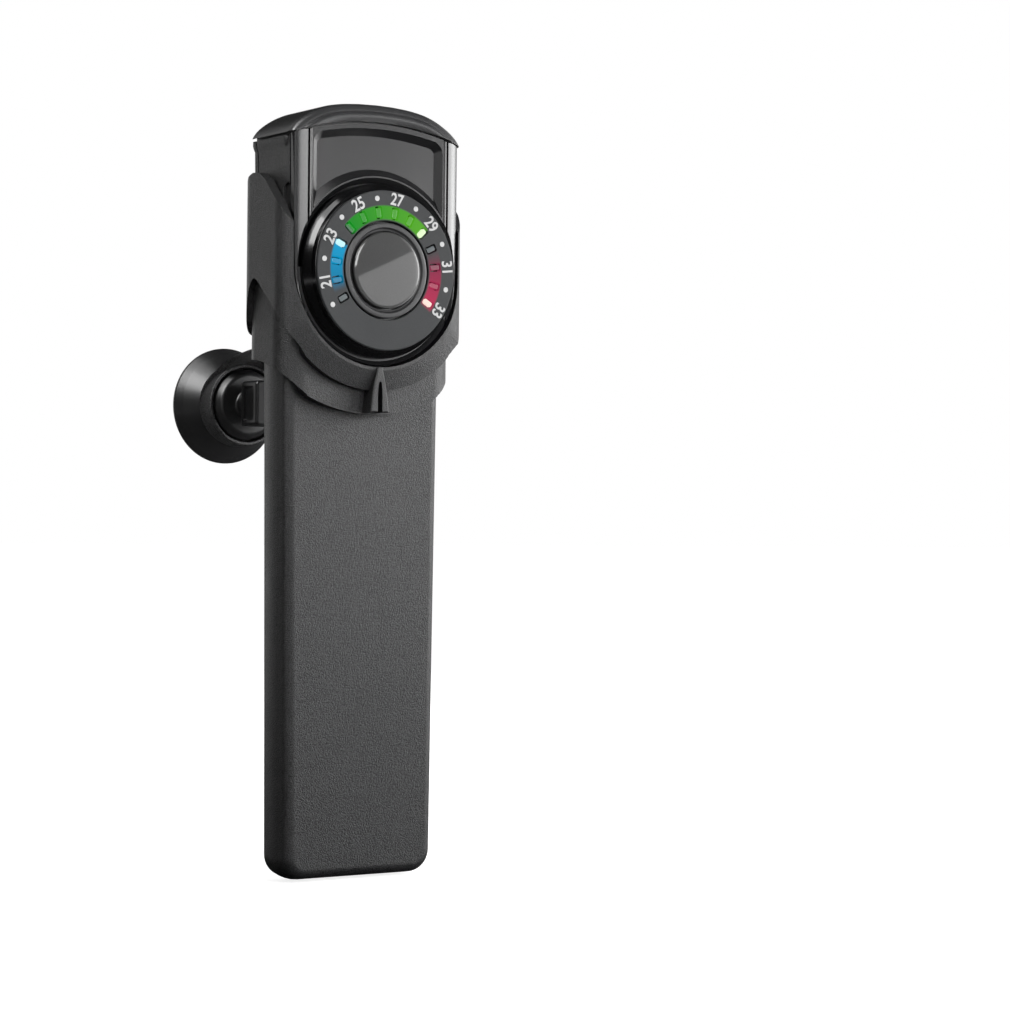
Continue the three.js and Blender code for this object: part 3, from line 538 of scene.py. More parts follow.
@dataclass(frozen=True)
class Datum:
    """Places that several pieces share, read from the frame."""

    origin: Vector
    dial: float
    crown: float
    head_half: float
    head_front: float
    head_back: float
    shell_front: float

    @classmethod
    def read(cls) -> Datum:
        """Reads the shared places from the frame."""
        origin = Vector((0.0, Span.of("heating_element").middle.y, Span.of("rear_cover").low.z))
        fascia = Span.of("head_fascia", origin)
        return cls(
            origin=origin,
            dial=Span.of("dial_bezel", origin).middle.z,
            crown=fascia.high.z,
            head_half=fascia.half.x,
            head_front=fascia.low.y,
            head_back=Span.of("rear_cover", origin).high.y,
            shell_front=Span.of("front_shell", origin).low.y,
        )

    def span(self, node: str) -> Span:
        """A node's box from the blade tip's middle."""
        return Span.of(node, self.origin)


# ------------------------------------------------------------ node layout

class Layout:
    """Lays out the nodes of one tree."""

    def __init__(self, tree: bpy.types.NodeTree) -> None:
        """Keeps the tree."""
        self.tree = tree

    def fill(self, node: bpy.types.Node, key: str | int, value: object) -> None:
        """Gives a node's input a value, or links it to a socket."""
        if isinstance(value, bpy.types.NodeSocket):
            self.link(value, node.inputs[key])
        else:
            node.inputs[key].default_value = value

    def link(self, source: bpy.types.NodeSocket, target: bpy.types.NodeSocket) -> None:
        """Links an output to an input."""
        self.tree.links.new(source, target)

    def add(self, kind: str, inputs: dict[str | int, object] | None = None,
            **settings: object) -> bpy.types.Node:
        """Adds a node.

        Args:
            kind: The node's type.
            inputs: Values or sockets for its inputs, by name or number.
            settings: The node's own settings.

        Returns:
            The node.
        """
        node = self.tree.nodes.new(kind)
        for key, value in settings.items():
            setattr(node, key, value)
        for key, value in (inputs or {}).items():
            self.fill(node, key, value)
        return node

    def math(self, operation: str, *values: object, clamp: bool = False) -> bpy.types.NodeSocket:
        """The result of a sum on numbers or sockets."""
        node = self.add("ShaderNodeMath", dict(enumerate(values)), operation=operation, use_clamp=clamp)
        return node.outputs[0]

    def ramp(self, value: object, low: object, high: object, to_low: float = 0.0, to_high: float = 1.0,
             smooth: bool = True) -> bpy.types.NodeSocket:
        """A number carried from one range to another, held at its ends."""
        node = self.add("ShaderNodeMapRange", {
            "Value": value, "From Min": low, "From Max": high, "To Min": to_low, "To Max": to_high,
        }, interpolation_type="SMOOTHSTEP" if smooth else "LINEAR", clamp=True)
        return node.outputs["Result"]

    def spot(self) -> bpy.types.NodeSocket:
        """The place on the object."""
        return self.add("ShaderNodeTexCoord").outputs["Object"]

    def mix(self, share: object, first: object, second: object) -> bpy.types.NodeSocket:
        """A blend of two colours."""
        return self.add("ShaderNodeMix", {0: share, 6: first, 7: second}, data_type="RGBA").outputs[2]

    def group(self, tree: bpy.types.NodeTree, **inputs: object) -> bpy.types.Node:
        """Places a node group, with its inputs by name, underscores standing for spaces."""
        node = self.add("ShaderNodeGroup", node_tree=tree)
        for key, value in inputs.items():
            self.fill(node, key.replace("_", " "), value)
        return node


def new_group(name: str, inputs: dict[str, object], outputs: dict[str, str]) -> tuple[Layout, dict, dict]:
    """Starts a shader node group.

    Args:
        name: The group's name.
        inputs: Its inputs: a number makes a number input, three or four numbers a colour.
        outputs: Its outputs, each "Float" or "Color".

    Returns:
        The layout, the input sockets by name, and the output sockets by name.
    """
    tree = bpy.data.node_groups.new(name, "ShaderNodeTree")
    for key, value in inputs.items():
        kind = "NodeSocketFloat" if isinstance(value, (int, float)) else "NodeSocketColor"
        socket = tree.interface.new_socket(name=key, in_out="INPUT", socket_type=kind)
        socket.default_value = value
    for key, kind in outputs.items():
        tree.interface.new_socket(name=key, in_out="OUTPUT", socket_type=f"NodeSocket{kind}")
    entry = tree.nodes.new("NodeGroupInput")
    leave = tree.nodes.new("NodeGroupOutput")
    return (Layout(tree), {key: entry.outputs[key] for key in inputs},
            {key: leave.inputs[key] for key in outputs})


@functools.cache
def grain_group() -> bpy.types.NodeTree:
    """Spark-eroded grain: a height for a bump and a fine speckle of tone; a strong speckle paints the grain's
    glints into the colour.
    """
    layout, given, result = new_group("Moulded grain", {"Size": 0.25, "Depth": 0.01, "Speckle": 0.1},
                                      {"Height": "Float", "Tone": "Float"})
    place = layout.spot()
    scale = layout.math("DIVIDE", 1 / MM, given["Size"])
    coarse = layout.add("ShaderNodeTexNoise", {
        "Vector": place, "Scale": scale, "Detail": 2.0, "Roughness": 0.6}).outputs["Fac"]
    cells = layout.add("ShaderNodeTexVoronoi", {
        "Vector": place, "Scale": layout.math("MULTIPLY", scale, 0.8)}, feature="SMOOTH_F1")
    height = layout.math("ADD", layout.ramp(coarse, 0.3, 0.7),
                         layout.math("MULTIPLY", cells.outputs["Distance"], 0.5))
    spread = layout.math("MULTIPLY", layout.math("SUBTRACT", coarse, 0.5), given["Speckle"])
    depth = layout.math("MULTIPLY", height, given["Depth"])
    layout.link(layout.math("MULTIPLY", depth, MM), result["Height"])
    # The tone's speckle is random; where it is strong it stands for painted glints of the grain.
    layout.link(layout.math("MAXIMUM", layout.math("ADD", spread, 1.0), 0.0), result["Tone"])
    return layout.tree


@functools.cache
def drift_group() -> bpy.types.NodeTree:
    """Broad, faint unevenness of a moulded surface, as a number about 0.5."""
    layout, given, result = new_group("Surface drift", {"Size": 14.0, "Streak": 1.0}, {"Value": "Float"})
    place = layout.spot()
    stretch = layout.add("ShaderNodeCombineXYZ", {"X": 1.0, "Y": 1.0, "Z": given["Streak"]})
    along = layout.add("ShaderNodeVectorMath", {0: place, 1: stretch.outputs[0]}, operation="MULTIPLY")
    noise = layout.add("ShaderNodeTexNoise", {
        "Vector": along.outputs[0], "Scale": layout.math("DIVIDE", 1 / MM, given["Size"]),
        "Detail": 3.0, "Roughness": 0.55})
    layout.link(noise.outputs["Fac"], result["Value"])
    return layout.tree


@functools.cache
def lamp_group() -> bpy.types.NodeTree:
    """Position on the dial: the distance from its centre and the number of the lamp beside it."""
    layout, given, result = new_group("Dial position", {"Height": 0.02, "First": 211.1, "Step": 18.63},
                                      {"Radius": "Float", "Lamp": "Float"})
    place = layout.spot()
    parts = layout.add("ShaderNodeSeparateXYZ", {0: place})
    up = layout.math("SUBTRACT", parts.outputs["Z"], given["Height"])
    radius = layout.math("SQRT", layout.math("ADD", layout.math("POWER", parts.outputs["X"], 2.0),
                                             layout.math("POWER", up, 2.0)))
    angle = layout.math("DEGREES", layout.math("ARCTAN2", up, parts.outputs["X"]))
    turned = layout.math("MODULO", layout.math("ADD", angle, 450.0), 360.0)
    behind = layout.math("SUBTRACT", layout.math("ADD", given["First"], 90.0), turned)
    layout.link(layout.math("DIVIDE", radius, MM), result["Radius"])
    layout.link(layout.math("DIVIDE", behind, given["Step"]), result["Lamp"])
    return layout.tree


@functools.cache
def glow_group() -> bpy.types.NodeTree:
    """Light of one run of lamps, spread along the dial between a first and a last lamp."""
    layout, given, result = new_group(
        "Lamp glow",
        {"Lamp": 0.0, "Radius": 0.0, "From": 0.0, "To": 1.0, "Fade In": 0.3, "Fade Out": 0.2,
         "Circle": 9.9, "Half Width": 1.0, "Softness": 0.4,
         "Start": (0, 0, 0, 1), "End": (1, 1, 1, 1), "Under": (0, 0, 0, 1)},
        {"Color": "Color", "Mask": "Float"})

    def rise(value: bpy.types.NodeSocket, start: str, length: str,
             ends: tuple[float, float] = (0.0, 1.0)) -> bpy.types.NodeSocket:
        """A value's smooth step over the length that follows a start."""
        stop = layout.math("ADD", given[start], given[length])
        return layout.ramp(value, given[start], stop, *ends)

    begun = rise(given["Lamp"], "From", "Fade In")
    ended = rise(given["Lamp"], "To", "Fade Out")
    off = layout.math("ABSOLUTE", layout.math("SUBTRACT", given["Radius"], given["Circle"]))
    across = rise(off, "Half Width", "Softness", (1.0, 0.0))
    inside = layout.math("MULTIPLY", begun, layout.math("SUBTRACT", 1.0, ended))
    mask = layout.math("MULTIPLY", inside, across, clamp=True)
    along = layout.ramp(given["Lamp"], given["From"], given["To"], smooth=False)
    colour = layout.mix(along, given["Start"], given["End"])
    layout.link(layout.mix(mask, given["Under"], colour), result["Color"])
    layout.link(mask, result["Mask"])
    return layout.tree


def linear(red: float, green: float, blue: float) -> Colour:
    """A colour given as screen values from 0 to 255, made linear."""
    def channel(value: float) -> float:
        """One channel made linear."""
        share = value / 255
        return share / 12.92 if share <= 0.04045 else ((share + 0.055) / 1.055) ** 2.4
    return channel(red), channel(green), channel(blue)


# --------------------------------------------------------------- finishes

@dataclass(frozen=True)
class Moulded:
    """A moulded plastic or rubber surface with its grain and faint unevenness."""

    name: str
    colour: Colour
    roughness: float
    specular: float = 0.5
    grain_size: float = 0.25
    grain_depth: float = 0.004
    speckle: float = 0.1
    # Random speckle of tone; where it is strong, painted glints of the grain.
    drift: float = 0.08
    wear: float = 0.08
    drift_size: float = 14.0
    streak: float = 1.0
    coat: float = 0.0
    coat_roughness: float = 0.08

    def base(self, layout: Layout) -> tuple[bpy.types.NodeSocket, bpy.types.NodeSocket, bpy.types.NodeSocket]:
        """Lays out the surface's colour, roughness and normal.

        Args:
            layout: The material's layout.

        Returns:
            The colour, roughness and normal sockets.
        """
        grain = layout.group(grain_group(), Size=self.grain_size, Depth=self.grain_depth,
                             Speckle=self.speckle)
        drift = layout.group(drift_group(), Size=self.drift_size, Streak=self.streak).outputs["Value"]
        tone = layout.math("MULTIPLY", grain.outputs["Tone"],
                           layout.ramp(drift, 0.25, 0.75, 1 - self.drift, 1 + self.drift))
        shade = layout.add("ShaderNodeVectorMath", {0: self.colour, "Scale": tone}, operation="SCALE")
        roughness = layout.ramp(drift, 0.25, 0.75, self.roughness * (1 - self.wear),
                                self.roughness * (1 + self.wear))
        bump = layout.add("ShaderNodeBump", {
            "Height": grain.outputs["Height"], "Strength": 1.0, "Distance": 1.0})
        return shade.outputs[0], roughness, bump.outputs["Normal"]

    def build(self) -> bpy.types.Material:
        """Makes the material."""
        material = bpy.data.materials.new(self.name)
        material.use_nodes = True
        layout = Layout(material.node_tree)
        shader = material.node_tree.nodes["Principled BSDF"]
        colour, roughness, normal = self.base(layout)
        for source, target in ((colour, "Base Color"), (roughness, "Roughness"), (normal, "Normal")):
            layout.link(source, shader.inputs[target])
        shader.inputs["Specular IOR Level"].default_value = self.specular
        shader.inputs["Coat Weight"].default_value = self.coat
        shader.inputs["Coat Roughness"].default_value = self.coat_roughness
        self.extra(layout, shader, colour)
        return material

    def extra(self, layout: Layout, shader: bpy.types.Node, colour: bpy.types.NodeSocket) -> None:
        """Adds what a finish has beyond a plain moulded one."""


class Lamps:
    """The dial's fourteen lamps, from 20 to 33 degrees."""

    COUNT = 14
    FIRST = 20
    STEP = 18.63
    FIRST_ANGLE = 90 + (COUNT - 1) / 2 * STEP
    CIRCLE = 9.9

    @classmethod
    def angle(cls, lamp: float) -> float:
        """The angle of a lamp on the dial in degrees, anticlockwise from the right."""
        return cls.FIRST_ANGLE - lamp * cls.STEP


@dataclass(frozen=True)
class Glow:
    """The light of one run of lamps along the dial."""

    first: float
    last: float
    fade_in: float
    fade_out: float
    start: Colour
    end: Colour


GLOWS = (
    Glow(0.35, 3.0, 0.75, 0.12, linear(0, 108, 148), linear(0, 158, 208)),
    Glow(3.8, 9.0, 0.3, 0.15, linear(0, 140, 34), linear(84, 170, 30)),
    Glow(10.0, 13.1, 1.3, 0.3, linear(104, 40, 66), linear(186, 44, 84)),
)


@dataclass(frozen=True)
class Backlit(Moulded):
    """A dial surface with the lamps' light painted on it as a glow along their circle."""

    dial: float = 0.0
    half_width: float = 0.95
    softness: float = 0.45
    lit: tuple[tuple[float, Colour], ...] = ()

    def extra(self, layout: Layout, shader: bpy.types.Node, colour: bpy.types.NodeSocket) -> None:
        """Paints the lamps' light over the surface as a glow, with the surface's own colour black under it.
        """
        where = layout.group(lamp_group(), Height=self.dial * MM, First=Lamps.FIRST_ANGLE, Step=Lamps.STEP)
        light: object = (0.0, 0.0, 0.0, 1.0)
        cover: object = 0.0
        for glow in GLOWS:
            node = layout.group(
                glow_group(), Lamp=where.outputs["Lamp"], Radius=where.outputs["Radius"], From=glow.first,
                To=glow.last, Fade_In=glow.fade_in, Fade_Out=glow.fade_out, Circle=Lamps.CIRCLE,
                Half_Width=self.half_width, Softness=self.softness, Start=(*glow.start, 1.0),
                End=(*glow.end, 1.0), Under=light)
            light = node.outputs["Color"]
            cover = layout.math("MAXIMUM", cover, node.outputs["Mask"])
        for lamp, shade in self.lit:
            near = layout.math("ABSOLUTE", layout.math("SUBTRACT", where.outputs["Lamp"], lamp))
            on = layout.ramp(near, 0.3, 0.42, 1.0, 0.0)
            light = layout.mix(on, light, (*shade, 1.0))
            cover = layout.math("MAXIMUM", cover, on)
        dimmed = layout.mix(cover, colour, (0.0, 0.0, 0.0, 1.0))
        layout.link(dimmed, shader.inputs["Base Color"])
        layout.link(light, shader.inputs["Emission Color"])
        shader.inputs["Emission Strength"].default_value = 1.0


@dataclass(frozen=True)
class Grained(Moulded):
    """Plastic with the coarse grain of the casing and the hanger, with the grain's glints painted into its
    colour as a strong speckle.
    """

    roughness: float = 0.42
    grain_size: float = 0.19
    grain_depth: float = 0.03
    # A strong speckle: painted glints of the grain, laid into the colour.
    speckle: float = 7.0

@dataclass(frozen=True)
class Metal(Moulded):
    """A plated or rolled metal surface."""

    def extra(self, layout: Layout, shader: bpy.types.Node, colour: bpy.types.NodeSocket) -> None:
        """Makes the surface metal."""
        shader.inputs["Metallic"].default_value = 1.0


@dataclass(frozen=True)
class Board(Moulded):
    """A circuit board: solder mask over copper tracks."""

    track: Colour = (0.05, 0.22, 0.1)
    pitch: float = 1.6

    def extra(self, layout: Layout, shader: bpy.types.Node, colour: bpy.types.NodeSocket) -> None:
        """Lays tracks and pads over the mask."""
        place = layout.spot()
        flat = layout.add("ShaderNodeMapping", {"Vector": place, "Rotation": (math.pi / 2, 0, 0)})
        bricks = layout.add("ShaderNodeTexBrick", {
            "Vector": flat.outputs[0], "Scale": 1 / (self.pitch * MM), "Color1": (0, 0, 0, 1),
            "Color2": (0.2, 0.2, 0.2, 1), "Mortar": (1, 1, 1, 1), "Mortar Size": 0.06,
            "Brick Width": 3.0, "Row Height": 1.0})
        painted = layout.mix(bricks.outputs["Fac"], colour, (*self.track, 1.0))
        layout.link(painted, shader.inputs["Base Color"])


class Finishes:
    """Every material of the model, built once and found by its name."""

    def __init__(self, dial: float) -> None:
        """Builds the materials.

        Args:
            dial: Height of the dial's centre in the frame, in millimetres.
        """
        lit = ((3.0, linear(196, 244, 250)), (9.0, linear(226, 252, 200)), (13.0, linear(255, 222, 210)))
        bright = {"roughness": 0.25, "coat": 0.5, "grain_depth": 0.0}
        # After its colour: roughness, specular level, grain size, grain depth, speckle and glint (painted
        # glints on the grained plastic).
        made = (
            Grained("grained_plastic", linear(27, 27, 28)),
            # A lighter copy of the grained plastic for the arm: painted light on the arm.
            Grained("arm_plastic_painted_light", linear(60, 60, 61)),
            Moulded("gloss_plastic", linear(12, 12, 13), 0.14, 0.4, 0.6, 0.0006, 0.02),
            Moulded("fascia_plastic", linear(24, 24, 25), 0.26, 0.68, 0.4, 0.001, 0.3, drift_size=2.0,
                    streak=0.12, wear=0.0),
            Moulded("satin_plastic", linear(46, 46, 47), 0.3, 0.5, 0.22, 0.004, 0.12),
            # The plate: the lamps' light spilling onto it is painted as a glow.
            Backlit("dial_face", linear(56, 57, 58), 0.5, 0.1, 0.2, 0.004, 0.2, dial=dial),
            Moulded("button_face", linear(48, 48, 48), 0.45, 0.2, 0.22, 0.002, 0.5, coat=1.0,
                    coat_roughness=0.04),
            Moulded("black_rubber", linear(44, 44, 45), 0.32, 0.45, 0.3, 0.001, 0.05),
            Backlit("clear_lens", linear(72, 78, 80), 0.2, grain_depth=0.0, speckle=0.05, dial=dial,
                    softness=1.0, half_width=2.0, lit=lit),
            Moulded("clear_ring", linear(24, 27, 27), 0.2),
            Moulded("lamp_blue", linear(120, 190, 225), **bright),
            Moulded("lamp_green", linear(150, 215, 120), **bright),
            Moulded("lamp_red", linear(225, 110, 130), **bright),
            Moulded("dial_print", linear(176, 176, 176), 0.5, 0.3, 0.15, 0.001, 0.12),
            Board("circuit_board", linear(30, 92, 58), 0.3, 0.5, 0.35, 0.002),
            Moulded("chip_case", linear(34, 34, 36), 0.45, 0.5, 0.15, 0.002),
            Moulded("capacitor_case", linear(170, 62, 42), 0.25, 0.5, 1.2, 0.01, coat=0.4),
            Metal("steel", linear(190, 192, 194), 0.26, 0.5, 0.12, 0.001),
            Moulded("ceramic", linear(226, 222, 210), 0.62, 0.5, 0.2),
            Moulded("mica", linear(196, 180, 128), 0.32, 0.5, 1.6, 0.006, 0.5, coat=0.3),
            Metal("spreader_alloy", linear(196, 198, 202), 0.33, 0.5, 0.2, 0.001, streak=0.05,
                  drift_size=1.0),
            Moulded("lead_insulation", linear(176, 58, 44), 0.45, 0.5, 0.3, 0.002),
        )
        self.by_name = {finish.name: finish.build() for finish in made}

    def __getitem__(self, name: str) -> bpy.types.Material:
        """The material of a name."""
        return self.by_name[name]


# --------------------------------------------------------------- assembly

@dataclass
class Assembly:
    """Pieces that are drawn from the shared places and dressed in the finishes."""

    datum: Datum
    finishes: Finishes

    def put(self, name: str, solid: Solid, slot: str, node: str = "", finish: str = "",
            body: Body = Body.HEATER, sharp: float = 40.0) -> None:
        """Makes a solid a piece of the model.

        Args:
            name: The piece's name.
            solid: Its shape.
            slot: The record's material slot.
            node: CAD node that it stands for, if any.
            finish: Its finish, if that isn't named as the slot is.
            body: The body that it moves with.
            sharp: Edges that turn more than this, in degrees, are drawn sharp.
        """
        mesh = solid.mesh.copy()
        mesh.transform(Matrix.Scale(MM, 4) @ Matrix.Translation(self.datum.origin))
        mesh.materials.clear()
        mesh.materials.append(self.finishes[finish or slot])
        mesh.shade_smooth()
        mesh.set_sharp_from_angle(angle=math.radians(sharp))
        mesh.name = name
        piece = linked(name, mesh)
        piece.modifiers.new("flat faces stay flat", "WEIGHTED_NORMAL").keep_sharp = True
        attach(piece, body.value)
        if node:
            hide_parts(node)
        LOG.info("%s: %d faces, %d open edges, rides on %s", name, len(mesh.polygons),
                 solid.open_edges(), body.value)


# ----------------------------------------------------------------- casing

@dataclass
class Casing(Assembly):
    """The heater's blade and head: front shell, rear cover, fascia, cap and cord gland."""

    blade_half_thickness: float = 4.5
    blade_crown: float = 0.3
    blade_edge: float = 1.8
    blade_neck_half: float = 15.85
    blade_tip_half: float = 14.95
    blade_length: float = 88.5
    tip_corner: float = 4.2
    blade_seam: float = 3.15
    seam: float = 0.06
    head_seam: float = 4.2
    head_seam_gap: float = 0.26
    head_edge: float = 1.0
    wall: float = 1.3
    crown_radius: float = 53.7
    underside_radius: float = 16.1
    fascia_rise: float = 0.35

    def blade_half(self, height: float) -> float:
        """Half the blade's width at a height."""
        return self.blade_tip_half + (self.blade_neck_half - self.blade_tip_half) * height / self.blade_length

    def blade_outline(self, margin: float, top: float, bottom: float | None = None) -> list[Point]:
        """The blade's front view.

        Args:
            margin: How far it is grown on every side.
            top: Height of its top.
            bottom: Height of its bottom, or None for the tip.

        Returns:
            The outline.
        """
        low = -margin if bottom is None else bottom
        foot, head = self.blade_half(low) + margin, self.blade_half(top) + margin
        corner = max(self.tip_corner + margin, 0.5)
        return eased([(-foot, low, corner), (foot, low, corner), (head, top, 0), (-head, top, 0)], steps=10)

    def head_outline(self, margin: float, crown: float | None = None) -> list[Point]:
        """The head's front view: a round underside, sides and an arched crown.

        Args:
            margin: How far it is grown on every side.
            crown: Height of its top, or None for the head's own.

        Returns:
            The outline.
        """
        peak = self.datum.crown + margin if crown is None else crown
        half = self.datum.head_half + margin
        return [*arc((0.0, self.datum.dial), self.underside_radius + margin, 180, 360, 72),
                *arch(half, peak, self.crown_radius + margin)]

    def blade_form(self) -> Solid:
        """The whole blade, its sides slightly crowned."""
        thick, crown = self.blade_half_thickness, self.blade_crown
        edge = [(y, by + crown) for y, by in rounding(-thick, thick, self.blade_edge, 8)]
        flat = thick - self.blade_edge
        side = [(y, crown * (y / flat) ** 2) for y in (-0.6 * flat, -0.2 * flat, 0.2 * flat, 0.6 * flat)]
        stations = [*edge, *side, *[(-y, by) for y, by in edge[::-1]]]
        return Solid.prism(self.blade_outline(0, self.datum.dial), View.FRONT, stations)

    def head_form(self) -> Solid:
        """The whole head."""
        return Solid.prism(self.head_outline(0), View.FRONT, rounded_ends(
            self.datum.head_front, self.datum.head_back, self.head_edge, self.head_edge))

    def layer(self, front: float, back: float) -> Solid:
        """Everything between two positions along Y."""
        return Solid.box((-60, front, -60), (60, back, 200))

    def crown_lip(self, front: float, back: float) -> Solid:
        """The small bead round the top edge of the casing, under the cap."""
        crown, half = self.datum.crown, self.datum.head_half
        side = arch_height(half, crown, self.crown_radius)
        ledge, proud = 1.3, 0.35
        profile = [(side - 3.0, -0.4), (side - ledge - 0.9, -0.05), (side - ledge, proud * 0.7),
                   (side - 0.7, proud), (side, proud)]
        rows = [[Vector((x, y, z)) for x, y in
                 rectangle((-half - grow, front), (half + grow, back + grow), 1.4)] for z, grow in profile]
        return Solid.lattice(rows)

    def guide(self) -> tuple[Solid, Solid]:
        """The guide on the head's sides that the collar's wings slide over: a rib, and its recess."""
        foot, half = self.datum.dial, self.datum.head_half
        line = [(-7.5, foot), (-7.0, foot + 2.4), (-6.3, foot + 6.4), (-4.8, foot + 14.0)]
        rib = [*line, (-4.3, foot + 14.0), *[(y + 0.5, z) for y, z in line[-2::-1]]]
        recess = [(-8.0, foot), *line, (-6.1, foot + 14.5), (-7.2, foot + 13.4), (-7.8, foot + 8.0)]

        def both(outline: list[Point], far: float) -> Solid:
            """A side outline made solid at both sides of the head."""
            near = half - 0.5
            return Solid.slab(outline, near, far, View.SIDE).join(Solid.slab(outline, -far, -near, View.SIDE))

        return both(rib, half + 0.22), both(recess, half + 1)

    def front_shell(self) -> Solid:
        """The front half of the casing, blade and head in one."""
        datum, wall = self.datum, self.wall
        ahead = self.layer(datum.shell_front, self.head_seam)
        lip = self.crown_lip(datum.shell_front + 0.1, datum.head_back).keep(ahead)
        cover_room = Solid.slab(self.blade_outline(0.3, datum.dial + 0.3), self.blade_seam,
                                datum.head_back + 2)
        head = self.head_form().keep(ahead).join(lip).cut(cover_room)
        blade = self.blade_form().keep(self.layer(-20, self.blade_seam))
        blade_room = Solid.slab(self.blade_outline(-wall, datum.dial, wall),
                                wall - self.blade_half_thickness, self.blade_half_thickness)
        head_room = Solid.slab(self.head_outline(-wall, datum.crown + 2), datum.shell_front + wall,
                               datum.head_back)
        dial_hole = Solid.rod(datum.span("dial_plate").half.x - 0.5, -20.0, -3.0, datum.dial, 64)
        rib, recess = self.guide()
        return blade.join(head).cut(recess).join(rib).cut(blade_room, head_room, dial_hole)

    def rear_cover(self) -> Solid:
        """The rear half of the casing."""
        datum = self.datum
        head = self.head_form().join(self.crown_lip(datum.shell_front, datum.head_back))
        over_head = head.keep(self.layer(self.head_seam + self.head_seam_gap, BEYOND))
        over_blade = self.blade_form().keep(self.layer(self.blade_seam + self.seam, BEYOND))
        pocket = Solid.slab(self.head_outline(-self.wall, datum.crown + 2), 0.0, datum.head_back - self.wall)
        gland = datum.span("cable_gland")
        hole = Solid.rod(2.9, 0.0, 20.0, gland.middle.z, 48)
        return over_head.cut(pocket).join(over_blade.cut(pocket)).cut(hole)

    def fascia(self) -> Solid:
        """The glossy front of the head: corner columns, and a sunk panel over the dial."""
        datum = self.datum
        half, front = datum.head_half, datum.head_front
        back = datum.span("head_fascia").high.y
        plate = Solid.prism(self.head_outline(0, datum.crown + self.fascia_rise), View.FRONT,
                            rounded_ends(front, back, 0.2, 0.1))
        side = [(0.0, 1.3), (0.03, 1.04), (0.12, 0.84), (0.26, 0.69)]
        column = [(half - 2.4 + d, front + 0.105 * d + 0.0987 * d * d)
                  for d in (1.95, 1.6, 1.2, 0.8, 0.4, 0.0)]
        groove = [(2.42, 0.55), (2.74, 0.55), (2.82, 0.03), (2.97, -0.03), (3.12, 0.0), (3.3, 0.1)]
        right = [(half, back + 1), *stepped((half, front), side, (-1, 1)), *column,
                 *stepped((half, front), groove, (-1, 1))]
        plan = Solid.slab((right + image(right))[::-1], datum.dial - 30, datum.crown + 10, View.PLAN)
        top_margin, depth, slope = 0.75, 1.15, 1.35
        mouth = half - 3.4
        peak = datum.crown + self.fascia_rise - top_margin
        rim = 16.25
        lean = math.degrees(math.acos(mouth / rim))
        shoulder = arch_height(mouth, peak, self.crown_radius)
        bend = stepped((mouth, shoulder), ((0.0, 1.7), (0.2, 0.85), (0.75, 0.2)), (-1, -1))
        panel = [*bend, *arch(mouth - 1.5, peak, self.crown_radius), *image(bend),
                 *arc((0.0, datum.dial), rim, 180 - lean, lean, 40)]
        recess = Solid.prism(panel, View.FRONT, [(front - 1.0, 0.0), (front, 0.0), (front + depth, slope)])
        bezel = datum.span("dial_bezel").half.x
        well = [(0.0, front - 2, 0), (rim + 0.3, front - 2, 0), (rim - 0.15, front + 0.12, 0.15),
                (bezel + 0.25, front + 0.9, 0.2), (bezel + 0.25, back + 1, 0), (0.0, back + 1, 0)]
        hole = Solid.spun(eased(well, closed=False), (0.0, datum.dial))
        return plate.keep(plan).cut(recess, hole)

    def top_cap(self) -> Solid:
        """The arched cap: a bead along its front edge, and the plug that closes the casing."""
        datum = self.datum
        cap = datum.span("top_cap")
        half, ridge, rise = cap.half.x - 0.3, cap.high.z, 3.2
        belly = ridge - rise
        foot = arch_height(half, belly, self.crown_radius)
        climb = ((0.0, 0.05), (0.3, 0.62), (0.95, 1.45), (1.95, 2.35), (3.3, 3.25), (5.0, 4.15), (7.3, 5.0))
        brow = curve([*stepped((half, foot), climb, (-1, 1)), (half - 10.4, ridge - 0.4),
                      (half - 13.8, ridge - 0.09)], 5)
        outline = [(-half, foot - rise), (half, foot - rise), *brow, (0.0, ridge), *image(brow)]
        front, back = cap.low.y, cap.high.y
        nose = ((0.3, 3.3), (0.14, 2.75), (0.03, 2.5), (0.0, 2.3), (0.0, 2.1), (0.03, 1.9), (0.12, 1.72),
                (0.32, 1.58), (0.52, 1.48), (0.6, 1.36), (0.6, 1.2), (0.64, 1.0), (0.78, 0.66), (1.05, 0.34),
                (1.5, 0.1), (2.1, 0.0))
        tail = ((1.6, 0.0), (1.1, 0.1), (0.65, 0.35), (0.3, 0.7), (0.1, 1.1), (0.0, 1.6))
        crown = Solid.prism(outline, View.FRONT,
                            stepped((front, 0.0), nose) + stepped((back, 0.0), tail, (-1, 1)))
        reach = half + 2

        def under(peak: float, low: float, high: float) -> Solid:
            """Everything under an arch, from one position along Y to another."""
            line = [(-reach, datum.dial), (reach, datum.dial), *arch(reach, peak, self.crown_radius)]
            return Solid.slab(line, low, high)

        def block(inset_by: float, corner: float, low: float, high: float) -> Solid:
            """The plug's plan with an inset, made solid between two heights over the crown."""
            near, far = datum.shell_front + self.wall + 0.3, datum.head_back - self.wall - 0.3
            side = datum.head_half - self.wall - 0.6 - inset_by
            return Solid.slab(rectangle((-side, near + inset_by), (side, far - inset_by), corner),
                              datum.crown + low, datum.crown + high, View.PLAN)

        plug = block(0.0, 1.0, -3.6, 1.2).keep(under(belly + 1, front, back))
        ledge = Solid.slab(self.head_outline(-0.5, belly + 0.3), datum.head_front + 0.8,
                           datum.head_back - 0.5).cut(under(datum.crown + 0.05, front - 2, back + 2))
        plan = Solid.slab(rectangle((-half, front), (half, back + 3), 2.4), datum.dial, ridge + 2, View.PLAN)
        cap_top = crown.keep(plan).cut(under(belly, front - 2, back + 2))
        return cap_top.join(ledge, plug, block(1.3, 0.5, -4.9, -1))

